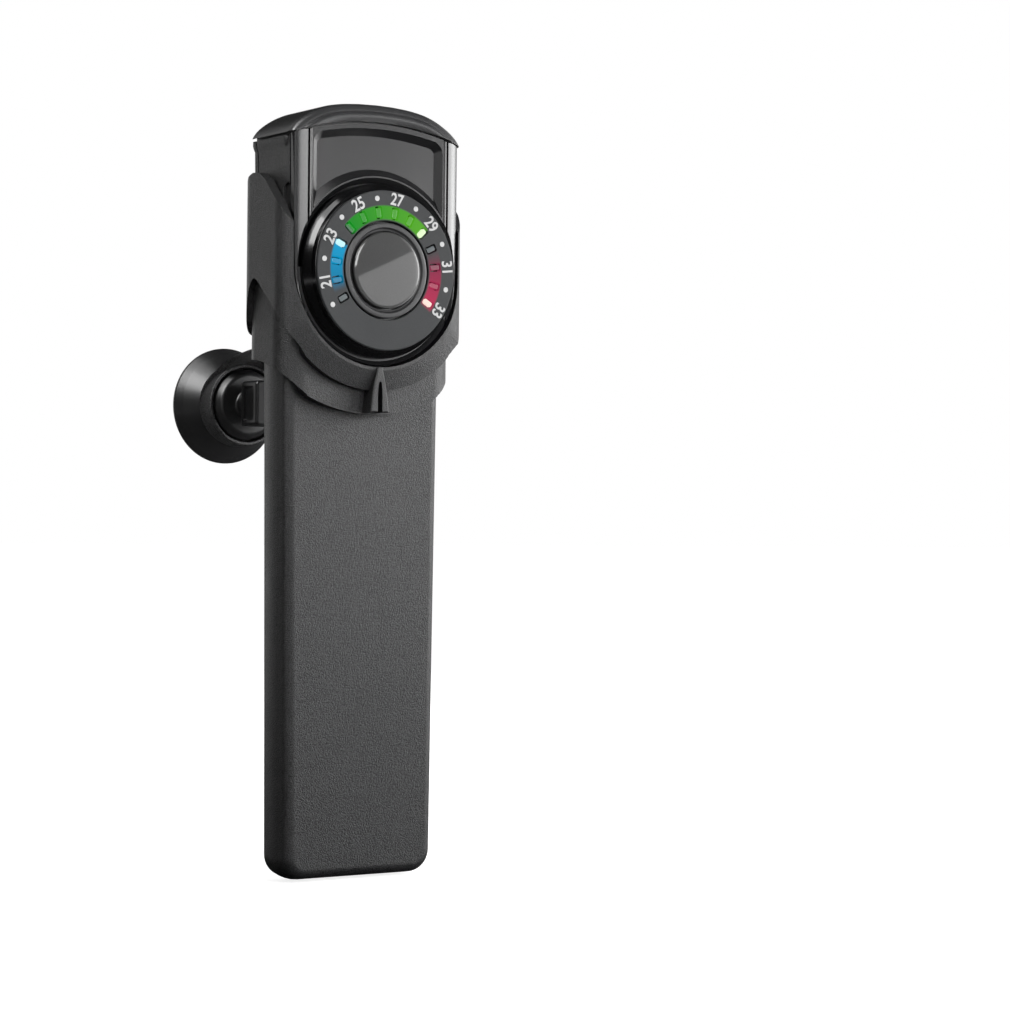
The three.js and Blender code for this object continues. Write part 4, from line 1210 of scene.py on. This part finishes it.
    def gland(self) -> Solid:
        """The rubber bushing that the cord would enter by."""
        span = self.datum.span("cable_gland")
        back, inside = span.high.y, span.low.y
        out = self.datum.head_back + 0.02
        ribs = []
        for k in range(3):
            foot = out + 2.4 + k * 1.8
            radius = 3.85 - 0.3 * k
            ribs += [(radius, foot, 0.15), (radius - 0.05, foot + 0.9, 0.15), (radius - 0.6, foot + 1.1, 0.1),
                     (radius - 0.65, foot + 1.7, 0.1)]
        profile = [(1.9, inside, 0.1), (3.4, inside, 0.2), (3.4, inside + 1.2, 0.1), (2.6, inside + 1.2, 0.1),
                   (2.6, out, 0), (span.half.x, out, 0.2), (span.half.x, out + 1.5, 0.5),
                   (3.6, out + 1.9, 0.2), *ribs, (3.0, back - 0.4, 0.15), (2.7, back, 0.2), (1.9, back, 0.3)]
        return Solid.spun(eased(profile, steps=4), (0.0, span.middle.z), 64)

    def build(self) -> None:
        """Builds and places the casing's pieces."""
        grained = "grained_plastic"
        self.put("casing_front", self.front_shell().softened(0.09, 2, 50), grained, "front_shell")
        self.put("casing_rear", self.rear_cover().softened(0.09, 2, 50), grained, "rear_cover")
        self.put("fascia", self.fascia().softened(0.08, 3, 22, 0.01), "gloss_plastic", "head_fascia",
                 "fascia_plastic", sharp=24)
        self.put("cap", self.top_cap().softened(0.08, 2, 45), "satin_plastic", "top_cap")
        self.put("gland", self.gland(), "black_rubber", "cable_gland")


# ------------------------------------------------------------------- dial

@dataclass
class Dial(Assembly):
    """The dial: bezel, printed plate with lamp windows, lenses, ring and push button."""

    window: tuple[float, float] = (2.2, 1.4)
    lens: tuple[float, float] = (1.7, 0.9)
    figure_radius: float = 12.35
    figure_height: float = 2.05
    dot_radius: float = 0.45
    print_depth: float = 0.05

    def round_dial(self, meshes: Sequence[bpy.types.Mesh], spot: Vector, drawn_at: float = 0.0) -> Solid:
        """Meshes set round the dial, one to a lamp, as one.

        Args:
            meshes: A mesh for each lamp, drawn at the dial's centre.
            spot: Where a mesh goes from the dial's centre before it is turned to its lamp.
            drawn_at: The angle of that place in degrees, anticlockwise from the right.

        Returns:
            The solid.
        """
        bm = bmesh.new()
        centre = Matrix.Translation((0, 0, self.datum.dial))
        for lamp, mesh in enumerate(meshes):
            turn = Matrix.Rotation(math.radians(drawn_at - Lamps.angle(lamp)), 4, "Y")
            mesh.transform(centre @ turn @ Matrix.Translation(spot))
            bm.from_mesh(mesh)
        return Solid(meshed("ring", bm))

    def blocks(self, size: Point, corner: float, front: float, back: float) -> Solid:
        """Rounded blocks on the lamp circle, one to a lamp.

        Args:
            size: Their radial and tangential size.
            corner: Radius of their corners.
            front: Position of their front.
            back: Position of their back.

        Returns:
            The solid.
        """
        outline = rectangle((-size[0] / 2, -size[1] / 2), (size[0] / 2, size[1] / 2), corner)
        return self.round_dial([Solid.slab(outline, front, back).mesh for _ in range(Lamps.COUNT)],
                               Vector((Lamps.CIRCLE, 0, 0)))

    def turned(self, profile: Sequence[tuple[float, float, float]], sides: int = 160) -> Solid:
        """A profile with its corners eased, spun round the dial's axis."""
        return Solid.spun(eased(profile, steps=5), (0.0, self.datum.dial), sides)

    def bezel(self) -> Solid:
        """The gloss ring that carries the plate and reaches through the shell."""
        span, plate = self.datum.span("dial_bezel"), self.datum.span("dial_plate")
        outer, front, back = span.half.x, span.low.y, span.high.y
        spigot = plate.half.x - 0.8
        bore = spigot - 0.9
        profile = [(bore, front + 1.8, 0), (bore + 0.6, front + 1.8, 0), (bore + 0.6, front, 0),
                   (plate.half.x - 0.3, front, 0), (plate.half.x - 0.3, plate.low.y + 0.45, 0.1),
                   (plate.half.x + 0.12, plate.low.y + 0.45, 0.12), (plate.half.x + 0.35, front + 0.05, 0.35),
                   (outer - 0.35, front + 0.75, 0.35), (outer, front + 1.3, 0.3), (outer, -7.0, 0.1),
                   (spigot, -7.0, 0), (spigot, back, 0), (bore, back, 0)]
        return self.turned(profile)

    def plate(self) -> Solid:
        """The dial plate with its fourteen windows."""
        span, hole = self.datum.span("dial_plate"), self.datum.span("button_seal").half.x + 0.3
        front, back = span.low.y, span.high.y
        profile = [(hole, back, 0), (hole, front, 0.15), (span.half.x, front, 0.22), (span.half.x, back, 0)]
        return self.turned(profile).cut(self.blocks(self.window, 0.35, front - 1, back + 1))

    def light_ring(self) -> Solid:
        """The clear ring behind the plate, which carries the lenses."""
        span, plate = self.datum.span("light_guide"), self.datum.span("dial_plate")
        bore, outer, face = 7.6, span.half.x, plate.high.y + 0.1
        return Solid.spun([(bore, face), (outer, face), (outer, span.high.y), (bore, span.high.y)],
                          (0.0, self.datum.dial), 96)

    def lenses(self) -> Solid:
        """The lenses that fill the windows."""
        span = self.datum.span("light_guide")
        return self.blocks(self.lens, 0.3, self.datum.span("dial_plate").low.y + 0.12, span.high.y - 0.3)

    def figures(self) -> Solid:
        """The printed figures and dots, as one raised print."""
        numbers = range(Lamps.FIRST, Lamps.FIRST + Lamps.COUNT)
        depth = self.print_depth
        meshes = [self.figure(str(number)) if number % 2 else
                  Solid.rod(self.dot_radius, 0.0, depth, 0.0, 24).mesh for number in numbers]
        front = self.datum.span("dial_plate").low.y - depth * 0.7
        return self.round_dial(meshes, Vector((0, front, self.figure_radius)), 90.0)

    def figure(self, text: str) -> bpy.types.Mesh:
        """A number as a flat raised mesh, centred, upright in X and Z.

        Args:
            text: The number.

        Returns:
            The mesh in millimetres.
        """
        letters = bpy.data.curves.new("figure", "FONT")
        letters.body = text
        letters.align_x, letters.align_y = "CENTER", "CENTER"
        letters.size = self.figure_height / 0.7
        letters.offset = 0.028 * self.figure_height
        letters.extrude = self.print_depth / 2
        letters.resolution_u = 4
        mesh = evaluated(linked("figure", letters))
        corners = [v.co for v in mesh.vertices]
        middle = (Vector(map(min, *corners)) + Vector(map(max, *corners))) / 2
        narrow = Matrix.Diagonal((0.86, 1.0, 1.0, 1.0))
        mesh.transform(Matrix.Rotation(math.pi / 2, 4, "X") @ narrow @ Matrix.Translation(-middle))
        return mesh

    def seal(self) -> Solid:
        """The soft black ring round the button."""
        span, inner = self.datum.span("button_seal"), self.button_radius + 0.2
        outer, front, back = span.half.x, span.low.y, span.high.y
        profile = [(inner, back, 0), (inner, front + 0.4, 0.1), (inner + 0.3, front + 0.35, 0.12),
                   (inner + 0.55, front, 0.18), (outer, front + 0.02, 0.2), (outer, back, 0)]
        return self.turned(profile, 128)

    @property
    def button_radius(self) -> float:
        """Radius of the button's cap, within its flange."""
        return self.datum.span("set_button").half.x - 0.42

    def button(self) -> Solid:
        """The push button: a faintly domed cap, a flange and a stem."""
        span, radius, dome = self.datum.span("set_button"), self.button_radius, 0.16
        front, back = span.low.y, span.high.y
        shallow = [(radius * k / 10, front + dome * (k / 10) ** 2) for k in range(0, 10)]
        rim = eased([(radius * 0.9, front + dome * 0.81, 0), (radius, front + dome, 0.22),
                     (radius, front + 1.6, 0)], closed=False)
        foot = front + 2.2
        flange = [(radius + 0.42, front + 1.6), (radius + 0.42, foot), (1.5, foot), (1.5, back), (0.0, back)]
        return Solid.spun([*shallow, *rim, *flange], (0.0, self.datum.dial), 128)

    def build(self) -> None:
        """Builds and places the dial's pieces."""
        self.put("bezel", self.bezel(), "gloss_plastic", "dial_bezel")
        self.put("dial", self.plate().softened(0.05, 2, 50), "dial_face", "dial_plate")
        self.put("light_ring", self.light_ring(), "clear_lens", "light_guide", "clear_ring")
        self.put("lenses", self.lenses().softened(0.1, 2, 50), "clear_lens")
        self.put("dial_figures", self.figures(), "dial_print")
        self.put("button_ring", self.seal(), "black_rubber", "button_seal")
        self.put("button", self.button(), "button_face", "set_button", body=Body.BUTTON)


# ----------------------------------------------------------------- hanger

@dataclass
class Hanger(Assembly):
    """The collar that the head rests in, and the arm behind it that grips the suction cup."""

    casing: Casing
    slide_gap: float = 0.4
    wall: float = 1.4
    ring_width: float = 4.0
    ring_proud: float = 0.6
    ring_slope: float = 1.3
    band_width: float = 4.0
    band_inset: float = 1.1
    band_setback: float = 2.5
    band_radius: float = 30.0
    corner: float = 4.5
    leaf_knots: tuple[Point, ...] = (
        (0.0, -15.2), (2.3, -12.75), (3.5, -11.4), (4.5, -10.0), (5.4, -8.75), (7.07, -7.0), (10.95, -3.65),
        (12.77, -2.1), (14.07, -1.45), (15.17, -2.1), (15.97, -3.4), (16.7, -5.2), (17.6, -7.4),
        (18.6, -9.3), (20.0, -10.6), (22.4, -11.2))

    def __post_init__(self) -> None:
        """Works out the sizes that follow."""
        span = self.datum.span("hanger_collar")
        self.half, self.back, self.top = span.half.x, span.high.y, span.high.z
        self.front = self.datum.head_front - self.ring_proud
        self.ring_inner = self.casing.underside_radius + self.slide_gap
        self.ring_outer = self.ring_inner + self.ring_width
        self.band_outer = self.ring_outer + self.band_width
        self.band_front = self.front + self.band_setback
        self.rise = self.top - self.datum.dial

    def cradle(self, centre: float, radius: float, half: float, top: float) -> list[Point]:
        """A front view with a round bottom about a height and straight sides above."""
        lean = math.degrees(math.acos(half / radius))
        return [*arc((0.0, centre), radius, 180 + lean, 360 - lean, 72), (half, top), (-half, top)]

    def above_wings(self) -> Solid:
        """The room over the wings, whose edge runs from the ring up to a tip and down to the back."""
        dial, rise, front, back = self.datum.dial, self.rise, self.front, self.back
        knots = [(front, 0.38), (front + 1.9, 0.53), (front + 3.7, 0.67), (-3.2, 0.8), (-1.3, 0.92),
                 (0.9, 0.99), (2.9, 1.0), (4.8, 0.965), (back - 1.7, 0.89), (back - 1.15, 0.81),
                 (back - 0.9, 0.74), (back - 0.6, 0.68), (back, 0.62)]
        edge = [(y, dial + rise * share) for y, share in knots]
        far = self.top + 8
        outline = [(front - 2, edge[0][1] - 0.3), *edge, (back + 2, dial + 0.6 * rise), (back + 2, far),
                   (front - 2, far)]
        return Solid.slab(outline, -BEYOND, BEYOND, View.SIDE)

    def skirt(self, half: float, front: float, back: float, knots: Sequence[Point]) -> Solid:
        """What lies under a line that runs from a rounded plan's front round to its back, at both sides.

        Args:
            half: Half the plan's width.
            front: The plan's front.
            back: The plan's back.
            knots: Pairs of a distance along the plan from its front corner's start, and a height over
                the dial.

        Returns:
            The solid.
        """
        inwards, outwards, depth = 3.4, 3.0, 30.0
        quarter, straight = self.corner * math.pi / 2, back - front - 2 * self.corner
        rows: list[list[Vector]] = []
        for along, height in curve(knots, 8):
            turn = min(along / self.corner, math.pi / 2)
            middle = Vector((half - self.corner, front + self.corner))
            if along > quarter:
                turn = math.pi / 2 + max(along - quarter - straight, 0.0) / self.corner
                middle.y += min(along - quarter, straight)
            out = Vector((math.sin(turn), -math.cos(turn)))
            near, far = (middle + out * (self.corner + by) for by in (-inwards, outwards))
            high, low = self.datum.dial + height, self.datum.dial + height - depth
            corners = ((far, high), (near, high), (near, low), (far, low))
            rows.append([Vector((*place, level)) for place, level in corners])
        right, left = (Solid.lattice([[Vector((v.x * way, v.y, v.z)) for v in row] for row in rows])
                       for way in (1, -1))
        return right.join(left)

    def leaf(self) -> Solid:
        """What is cut off the wings' feet: an arch in each, from the ring's edge up and down to the back."""
        return self.skirt(self.half, self.front, self.back, self.leaf_knots).cut(self.band_form())

    def band_form(self) -> Solid:
        """The band's plan, at every height."""
        half = self.half - self.band_inset
        return Solid.slab(rectangle((-half, self.band_front), (half, self.back - 0.05), self.corner), 0.0,
                          self.top + 5, View.PLAN)

    def band_foot(self) -> Solid:
        """What is cut off the band's sides, whose lower edge climbs and levels out towards the back."""
        half, front, back = self.half - self.band_inset, self.band_front, self.back - 0.05
        knots = [(0.0, -21.6), (1.8, -20.15), (3.5, -18.75), (5.5, -17.5), (7.07, -16.9), (10.2, -15.8),
                 (12.9, -15.35), (16.0, -15.2), (20.0, -15.2)]
        low = Solid.box((-half + 4, 4.8, self.datum.dial - 40), (half - 4, back + 2, self.datum.dial - 15.2))
        return self.skirt(half, front, back, knots).join(low)

    def tongue(self) -> Solid:
        """The pointed tongue on the band's front."""
        bottom, tip = self.datum.dial - self.band_outer + 0.25, self.datum.dial - self.ring_inner + 0.3
        half, tip_half, length = 1.8, 0.42, tip - bottom
        flank = [(half - (half - tip_half) * (k / 8) ** 1.5, bottom + length * k / 8) for k in range(9)]
        outline = [*flank, *arc((0.0, tip), tip_half, 30, 150, 6), *image(flank)]
        front = self.front - 0.45
        body = Solid.prism(outline, View.FRONT, rounded_ends(front, self.band_front + self.wall, 0.3, 0, 4))
        slot_tip = tip - self.ring_width * 0.62
        slot = [(0.46, bottom - 3), (0.46, slot_tip - 2.2), (0.36, slot_tip - 1.0),
                *arc((0.0, slot_tip - 0.5), 0.24, 20, 160, 6), (-0.36, slot_tip - 1.0),
                (-0.46, slot_tip - 2.2), (-0.46, bottom - 3)]
        return body.cut(Solid.slab(slot, front - 2, self.band_front - 0.2))

    def collar(self) -> Solid:
        """The sleeve that cradles the head: a front ring, two side wings, a back and a lower band."""
        dial, low = self.datum.dial, self.datum.dial - self.band_outer - 2
        slope = self.ring_slope / self.ring_width
        reach = self.ring_inner * 2
        cone = Solid.spun(eased([(0.0, self.front, 0), (self.ring_inner + 0.5, self.front, 0.8),
                                 (reach, self.front + slope * (reach - self.ring_inner - 0.5), 0),
                                 (reach, self.back + 2, 0), (0.0, self.back + 2, 0)], closed=False),
                          (0.0, dial), 144)
        shape = rectangle((-self.half, self.front), (self.half, self.back), self.corner)
        sleeve = Solid.slab(self.cradle(dial, self.ring_outer, self.half, self.top + 2), self.front - 1,
                            self.back)
        sleeve = sleeve.keep(Solid.slab(shape, low, self.top + 3, View.PLAN), cone).cut(self.leaf())
        girth = self.cradle(dial - self.band_outer + self.band_radius, self.band_radius,
                            self.half - self.band_inset, dial + 2)
        band = Solid.slab(girth, self.band_front - 1, self.back).keep(self.band_form()).cut(self.band_foot())
        head_room = Solid.slab(self.casing.head_outline(self.slide_gap, self.datum.crown + 25),
                               self.front - 2, self.datum.head_back + self.slide_gap)
        blade = self.casing.blade_half_thickness + self.slide_gap
        blade_room = Solid.prism(self.casing.blade_outline(self.slide_gap, dial, low - 6), View.FRONT,
                                 rounded_ends(-blade, blade, 1.5, 1.5))
        gland = self.datum.span("cable_gland")
        notch_radius, middle = gland.half.x + 3.0, gland.middle.z
        notch = [*arc((0.0, middle), notch_radius, 180, 360, 48), (notch_radius, self.top + 8),
                 (-notch_radius, self.top + 8)]
        gland_room = Solid.slab(notch, self.datum.head_back, self.back + 2)
        return sleeve.join(band, self.tongue()).cut(head_room, blade_room, self.above_wings(), gland_room)

    def arm(self) -> Solid:
        """The arm: a pad on the collar's back, a hood over the cup's stem, and the ring that grips it."""
        span, cup = self.datum.span("hanger_arm"), self.datum.span("suction_cup")
        centre, start, end, top = cup.middle.z, span.low.y - 0.28, span.high.y, span.high.z
        shapes = ((start, 25, 8.3, 10.7), (26.0, 25, 8.3, 10.7), (31.0, 25, 8.2, 10.3), (34.5, 26, 8.0, 9.8),
                  (37.0, 30, 7.6, 9.2), (38.6, 38, 7.2, 8.7), (39.8, 50, 7.0, 8.3), (40.8, 66, 6.9, 8.0),
                  (41.5, 82, 6.85, 7.8), (end, 92, 6.8, 7.65))
        rows = []
        for y, lean, inner, outer in shapes:
            section = [*arc((0.0, centre), outer, 90 - lean, 90 + lean, 24),
                       *arc((0.0, centre), inner, 90 + lean, 90 - lean, 24)]
            rows.append([Vector((x, y, z)) for x, z in section])
        hood = Solid.lattice(rows)
        ring = Solid.spun(eased([(4.9, end - 1.6, 0.2), (6.85, end - 1.6, 0.1), (6.95, end - 4.2, 0.15),
                                 (7.55, end - 4.2, 0.25), (7.65, end, 0.2), (4.9, end, 0.25)], steps=5),
                          (0.0, centre), 96)
        pad = Solid.prism(rectangle((-8.0, top - 5.0), (8.0, top), 1.6), View.FRONT,
                          rounded_ends(start, start + 1.85, 0, 0.5, 5))
        return hood.join(ring, pad)

    def build(self) -> None:
        """Builds and places the hanger's pieces."""
        grained = "grained_plastic"
        self.put("collar", self.collar().softened(0.2, 3, 34), grained, "hanger_collar", body=Body.HANGER)
        # The arm wears a lighter copy of the grained plastic, which paints light on it.
        self.put("arm", self.arm().softened(0.15, 2, 50), grained, "hanger_arm", "arm_plastic_painted_light", Body.HANGER)


class Cup(Assembly):
    """The rubber suction cup: a square stem, a bead, a grooved neck and the hollow skirt."""

    def solid(self) -> Solid:
        """The cup in one."""
        span = self.datum.span("suction_cup")
        rim, radius, height = span.high.y, span.half.x, span.middle.z
        shoulder = rim - 4.2
        bead_back = shoulder - 2.6
        bead_front = bead_back - 2.9
        stem_back = bead_front - 2.3
        profile = eased([
            (0.0, stem_back - 1, 0), (2.6, stem_back - 1, 0), (2.6, bead_front, 0.5), (5.6, bead_front, 1.0),
            (6.5, bead_front + 1.2, 0.8), (6.5, bead_back, 0.5), (4.6, bead_back, 0.3),
            (4.6, shoulder - 0.15, 0.3), (7.3, shoulder + 0.05, 0.5), (radius - 1.1, rim - 1.9, 2.5),
            (radius, rim - 0.55, 0.4), (radius, rim, 0.12), (radius - 0.9, rim, 0.15),
            (radius * 0.65, rim - 1.8, 2.0), (0.0, rim - 2.6, 0),
        ], closed=False, steps=8)
        body = Solid.spun(profile, (0.0, height), 128)
        length, wide, tall, margin = 5.9, 3.0, 4.15, 1.0
        section = rectangle((-wide, height - tall), (wide, height + tall), 0.8)
        stem = Solid.prism(section, View.FRONT, rounded_ends(stem_back - length, stem_back, 0.5, 0.4, 5))
        pocket = rectangle((stem_back - length + margin, height - tall + margin),
                           (stem_back - margin, height + tall - margin), 0.5)
        pockets = [Solid.slab(pocket, low, high, View.SIDE)
                   for low, high in ((-wide - 1, 0.5 - wide), (wide - 0.5, wide + 1))]
        return body.join(stem.cut(*pockets))

    def build(self) -> None:
        """Builds and places the cup."""
        self.put("suction_cup_rubber", self.solid().softened(0.12, 2, 50), "black_rubber", "suction_cup",
                 body=Body.CUP)


# ------------------------------------------------------------ inner works

@dataclass
class InnerWorks:
    """The pieces inside the casing, which keep the frame's own shapes."""

    finishes: Finishes
    record: dict
    edge: float = 0.06

    def build(self) -> None:
        """Gives each inner node its finish and slightly rounded edges."""
        slots = {part["node"]: part["material_slot"] for part in self.record["subparts"]}
        for node, slot in sorted(slots.items()):
            holder = bpy.data.objects[node]
            if holder.hide_render:
                continue
            holder.data.materials.clear()
            holder.data.materials.append(self.finishes[slot])
            bevel = holder.modifiers.new("eased edges", "BEVEL")
            bevel.width, bevel.segments = self.edge * MM, 2
            bevel.limit_method, bevel.angle_limit = "ANGLE", math.radians(40)
            LOG.info("%s: frame node, finish %s", node, slot)


# ----------------------------------------------------------------- studio

@dataclass(frozen=True)
class SoftBox:
    """A soft box that faces the heater, or a black card if it has no strength.

    Its direction is an azimuth and an elevation in degrees, azimuth 0 in front and 90 to the left. Its
    distance and its size, across and up, are in millimetres, its strength is a radiance in watts per
    square metre and steradian, and its roll turns it about its own axis in degrees.
    """

    name: str
    direction: Point
    distance: float
    size: Point
    strength: float = 0.0
    roll: float = 0.0
    at_dial: bool = False
    mirrored: bool = True
    spread: bool = True


CARDS = (
    SoftBox("card_left", (97.0, 0.0), 700.0, (1600.0, 1600.0)),
    SoftBox("card_front", (-15.0, 0.0), 900.0, (1700.0, 1600.0)),
    SoftBox("card_top", (0.0, 80.0), 650.0, (1500.0, 1100.0)),
    SoftBox("card_back", (180.0, 42.0), 720.0, (1600.0, 620.0)),
    SoftBox("card_floor", (0.0, -90.0), 75.2, (1000.0, 1000.0)),
)
LAMPS = (
    SoftBox("front_box", (-62.0, 6.0), 320.0, (300.0, 180.0), 1.2),
    SoftBox("low_box", (-62.0, -19.0), 320.0, (300.0, 170.0), 3.8),
    SoftBox("front_fill", (-6.0, 5.0), 600.0, (230.0, 700.0), 7.5, mirrored=False),
    SoftBox("head_strip", (-4.5, 12.5), 600.0, (390.0, 75.0), 12.5, spread=False),
    SoftBox("near_left", (30.0, 0.0), 620.0, (220.0, 600.0), 0.2),
    SoftBox("left_spot", (68.0, 44.0), 450.0, (220.0, 220.0), 16.0, spread=False),
    SoftBox("back_left", (146.0, 38.0), 500.0, (400.0, 300.0), 0.8),
    SoftBox("top_left", (75.0, 68.0), 500.0, (260.0, 200.0), 5.0, spread=False),
    SoftBox("head_right", (-60.0, 15.8), 260.0, (170.0, 80.0), 8.0, spread=False),
    SoftBox("low_right", (-68.0, -5.0), 300.0, (90.0, 260.0), 3.0),
    SoftBox("right_box", (-112.0, 5.0), 560.0, (600.0, 700.0), 4.0, mirrored=False),
    SoftBox("soft_top", (-15.0, 45.0), 650.0, (500.0, 500.0), 3.2, mirrored=False),
    SoftBox("low_card", (-35.4, 3.5), 400.0, (150.0, 60.0), 2.5, roll=21.4, at_dial=True, spread=False),
)


@dataclass
class Studio:
    """Floor, backdrop light, lamps and camera."""

    datum: Datum
    azimuth: float = 34.0
    pitch: float = -0.39
    roll: float = 0.53
    distance: float = 486.2
    aim_height: float = 75.0
    shift_right: float = 26.9
    shift_down: float = 10.55
    sensor: float = 36.0
    lens: float = 99.42
    # The floor's glow near the heater, weaker than further out: painted shade round the heater.
    floor_glow: float = 0.82
    fill: float = 0.08

    def camera(self) -> None:
        """Sets the camera to the left of the dial, almost level with the blade's upper half."""
        turn, tilt, lean = (math.radians(a) for a in (self.azimuth, self.pitch, self.roll))
        ahead = Vector((math.sin(turn) * math.cos(tilt), math.cos(turn) * math.cos(tilt), -math.sin(tilt)))
        level = Vector((math.cos(turn), -math.sin(turn), 0.0))
        up = level.cross(ahead)
        right = level * math.cos(lean) + up * math.sin(lean)
        top = up * math.cos(lean) - level * math.sin(lean)
        aim = self.datum.origin + Vector((0.0, 0.0, self.aim_height))
        place = aim + right * self.shift_right - top * self.shift_down - ahead * self.distance
        camera = linked("camera", bpy.data.cameras.new("camera"))
        camera.data.sensor_width, camera.data.lens = self.sensor, self.lens
        camera.data.clip_start, camera.data.clip_end = 0.01, 50.0
        turned = Matrix((right, top, -ahead)).transposed().to_4x4()
        camera.matrix_world = Matrix.Translation(place * MM) @ turned
        bpy.context.scene.camera = camera

    def facing(self, box: SoftBox) -> Matrix:
        """Where a soft box or a card stands, its front to the heater."""
        turn, rise = (math.radians(a) for a in box.direction)
        way = Vector((-math.sin(turn) * math.cos(rise), -math.cos(turn) * math.cos(rise), math.sin(rise)))
        target = self.datum.origin + Vector((0.0, 0.0, self.datum.dial if box.at_dial else self.aim_height))
        return (Matrix.Translation((target + way * box.distance) * MM)
                @ way.to_track_quat("Z", "Y").to_matrix().to_4x4()
                @ Matrix.Rotation(math.radians(box.roll), 4, "Z"))

    def lamp(self, box: SoftBox) -> None:
        """Adds a soft box. Its fields say if reflections show it and if it lights matt surfaces."""
        light = bpy.data.lights.new(box.name, "AREA")
        width, height = box.size[0] * MM, box.size[1] * MM
        light.shape, light.size, light.size_y = "RECTANGLE", width, height
        light.energy = box.strength * math.pi * width * height
        holder = linked(box.name, light)
        holder.matrix_world = self.facing(box)
        holder.visible_camera, holder.visible_glossy, holder.visible_diffuse = False, box.mirrored, box.spread

    def sheet(self, name: str, size: Point, height: float, grey: float, roughness: float) -> bpy.types.Object:
        """A flat rectangle in a plain matt finish, as a part of the studio.

        Args:
            name: Its name.
            size: Width and depth in metres.
            height: Its height over its own origin in metres.
            grey: Its colour.
            roughness: Its roughness.

        Returns:
            The object.
        """
        bm = bmesh.new()
        bm.faces.new([bm.verts.new((x * size[0] / 2, y * size[1] / 2, height))
                      for x, y in ((-1, -1), (1, -1), (1, 1), (-1, 1))])
        sheet = linked(name, meshed(name, bm))
        material = bpy.data.materials.new(name)
        material.use_nodes = True
        shader = material.node_tree.nodes["Principled BSDF"]
        shader.inputs["Base Color"].default_value = (grey, grey, grey, 1.0)
        shader.inputs["Roughness"].default_value = roughness
        shader.inputs["Specular IOR Level"].default_value = 0.0
        sheet.data.materials.append(material)
        return sheet

    def floor(self) -> None:
        """A pale floor just under the blade's tip. Its glow is weaker near the heater, which paints a soft
        shade round the heater, and the heater's real shadow falls over that shade.
        """
        floor = self.sheet("floor", (12.0, 12.0), (self.datum.origin.z - 0.3) * MM, 0.55, 0.9)
        material = floor.data.materials[0]
        material.name = "pale_floor"
        nodes, layout = material.node_tree.nodes, Layout(material.node_tree)
        place = layout.spot()
        away = layout.add("ShaderNodeVectorMath", {0: place}, operation="LENGTH").outputs["Value"]
        # The glow is weaker within 0.1 m of the middle and full beyond 0.4 m: painted shade round the heater.
        strength = layout.math("MULTIPLY", seen(layout, 1.0),
                               layout.ramp(away, 0.1, 0.4, self.floor_glow, 1.0))
        glow = layout.add("ShaderNodeEmission", {"Color": (1, 1, 1, 1), "Strength": strength})
        both = layout.add("ShaderNodeAddShader", {0: nodes["Principled BSDF"].outputs[0], 1: glow.outputs[0]})
        layout.link(both.outputs[0], nodes["Material Output"].inputs["Surface"])

    def world(self) -> None:
        """A pale surround that is white where it is seen and softer as a light."""
        world = bpy.data.worlds.new("surround")
        world.use_nodes = True
        bpy.context.scene.world = world
        layout = Layout(world.node_tree)
        strength = layout.math("ADD", seen(layout, 1 - self.fill), self.fill)
        back = world.node_tree.nodes["Background"]
        back.inputs["Color"].default_value = (1, 1, 1, 1)
        layout.link(strength, back.inputs["Strength"])

    def card(self, box: SoftBox) -> None:
        """Adds a black card that only reflections show."""
        card = self.sheet(box.name, (box.size[0] * MM, box.size[1] * MM), 0.0, 0.02, 0.5)
        card.matrix_world = self.facing(box)
        for ray in ("camera", "diffuse", "transmission", "shadow", "volume_scatter"):
            setattr(card, f"visible_{ray}", False)

    def build(self) -> None:
        """Sets up the studio."""
        self.camera()
        self.world()
        self.floor()
        for box in CARDS:
            self.card(box)
        for box in LAMPS:
            self.lamp(box)
        bpy.context.scene.view_settings.view_transform = "Standard"


def seen(layout: Layout, strength: float) -> bpy.types.NodeSocket:
    """A strength that only what is seen directly, mirrored or through glass has.

    Args:
        layout: The layout to add the nodes to.
        strength: The strength.

    Returns:
        The strength's socket.
    """
    path = layout.add("ShaderNodeLightPath").outputs
    either = layout.math("MAXIMUM", path["Is Camera Ray"], path["Is Glossy Ray"])
    direct = layout.math("MAXIMUM", either, path["Is Transmission Ray"])
    return layout.math("MULTIPLY", direct, strength)


def main() -> None:
    """Builds the heater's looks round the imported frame."""
    logging.basicConfig(level=logging.INFO, format="%(name)s: %(message)s", stream=sys.stdout)
    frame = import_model()
    datum = Datum.read()
    finishes = Finishes(datum.origin.z + datum.dial)
    Studio(datum).build()
    casing = Casing(datum, finishes)
    casing.build()
    Dial(datum, finishes).build()
    Hanger(datum, finishes, casing).build()
    Cup(datum, finishes).build()
    InnerWorks(finishes, frame["record"]).build()


if __name__ == "__main__":
    main()
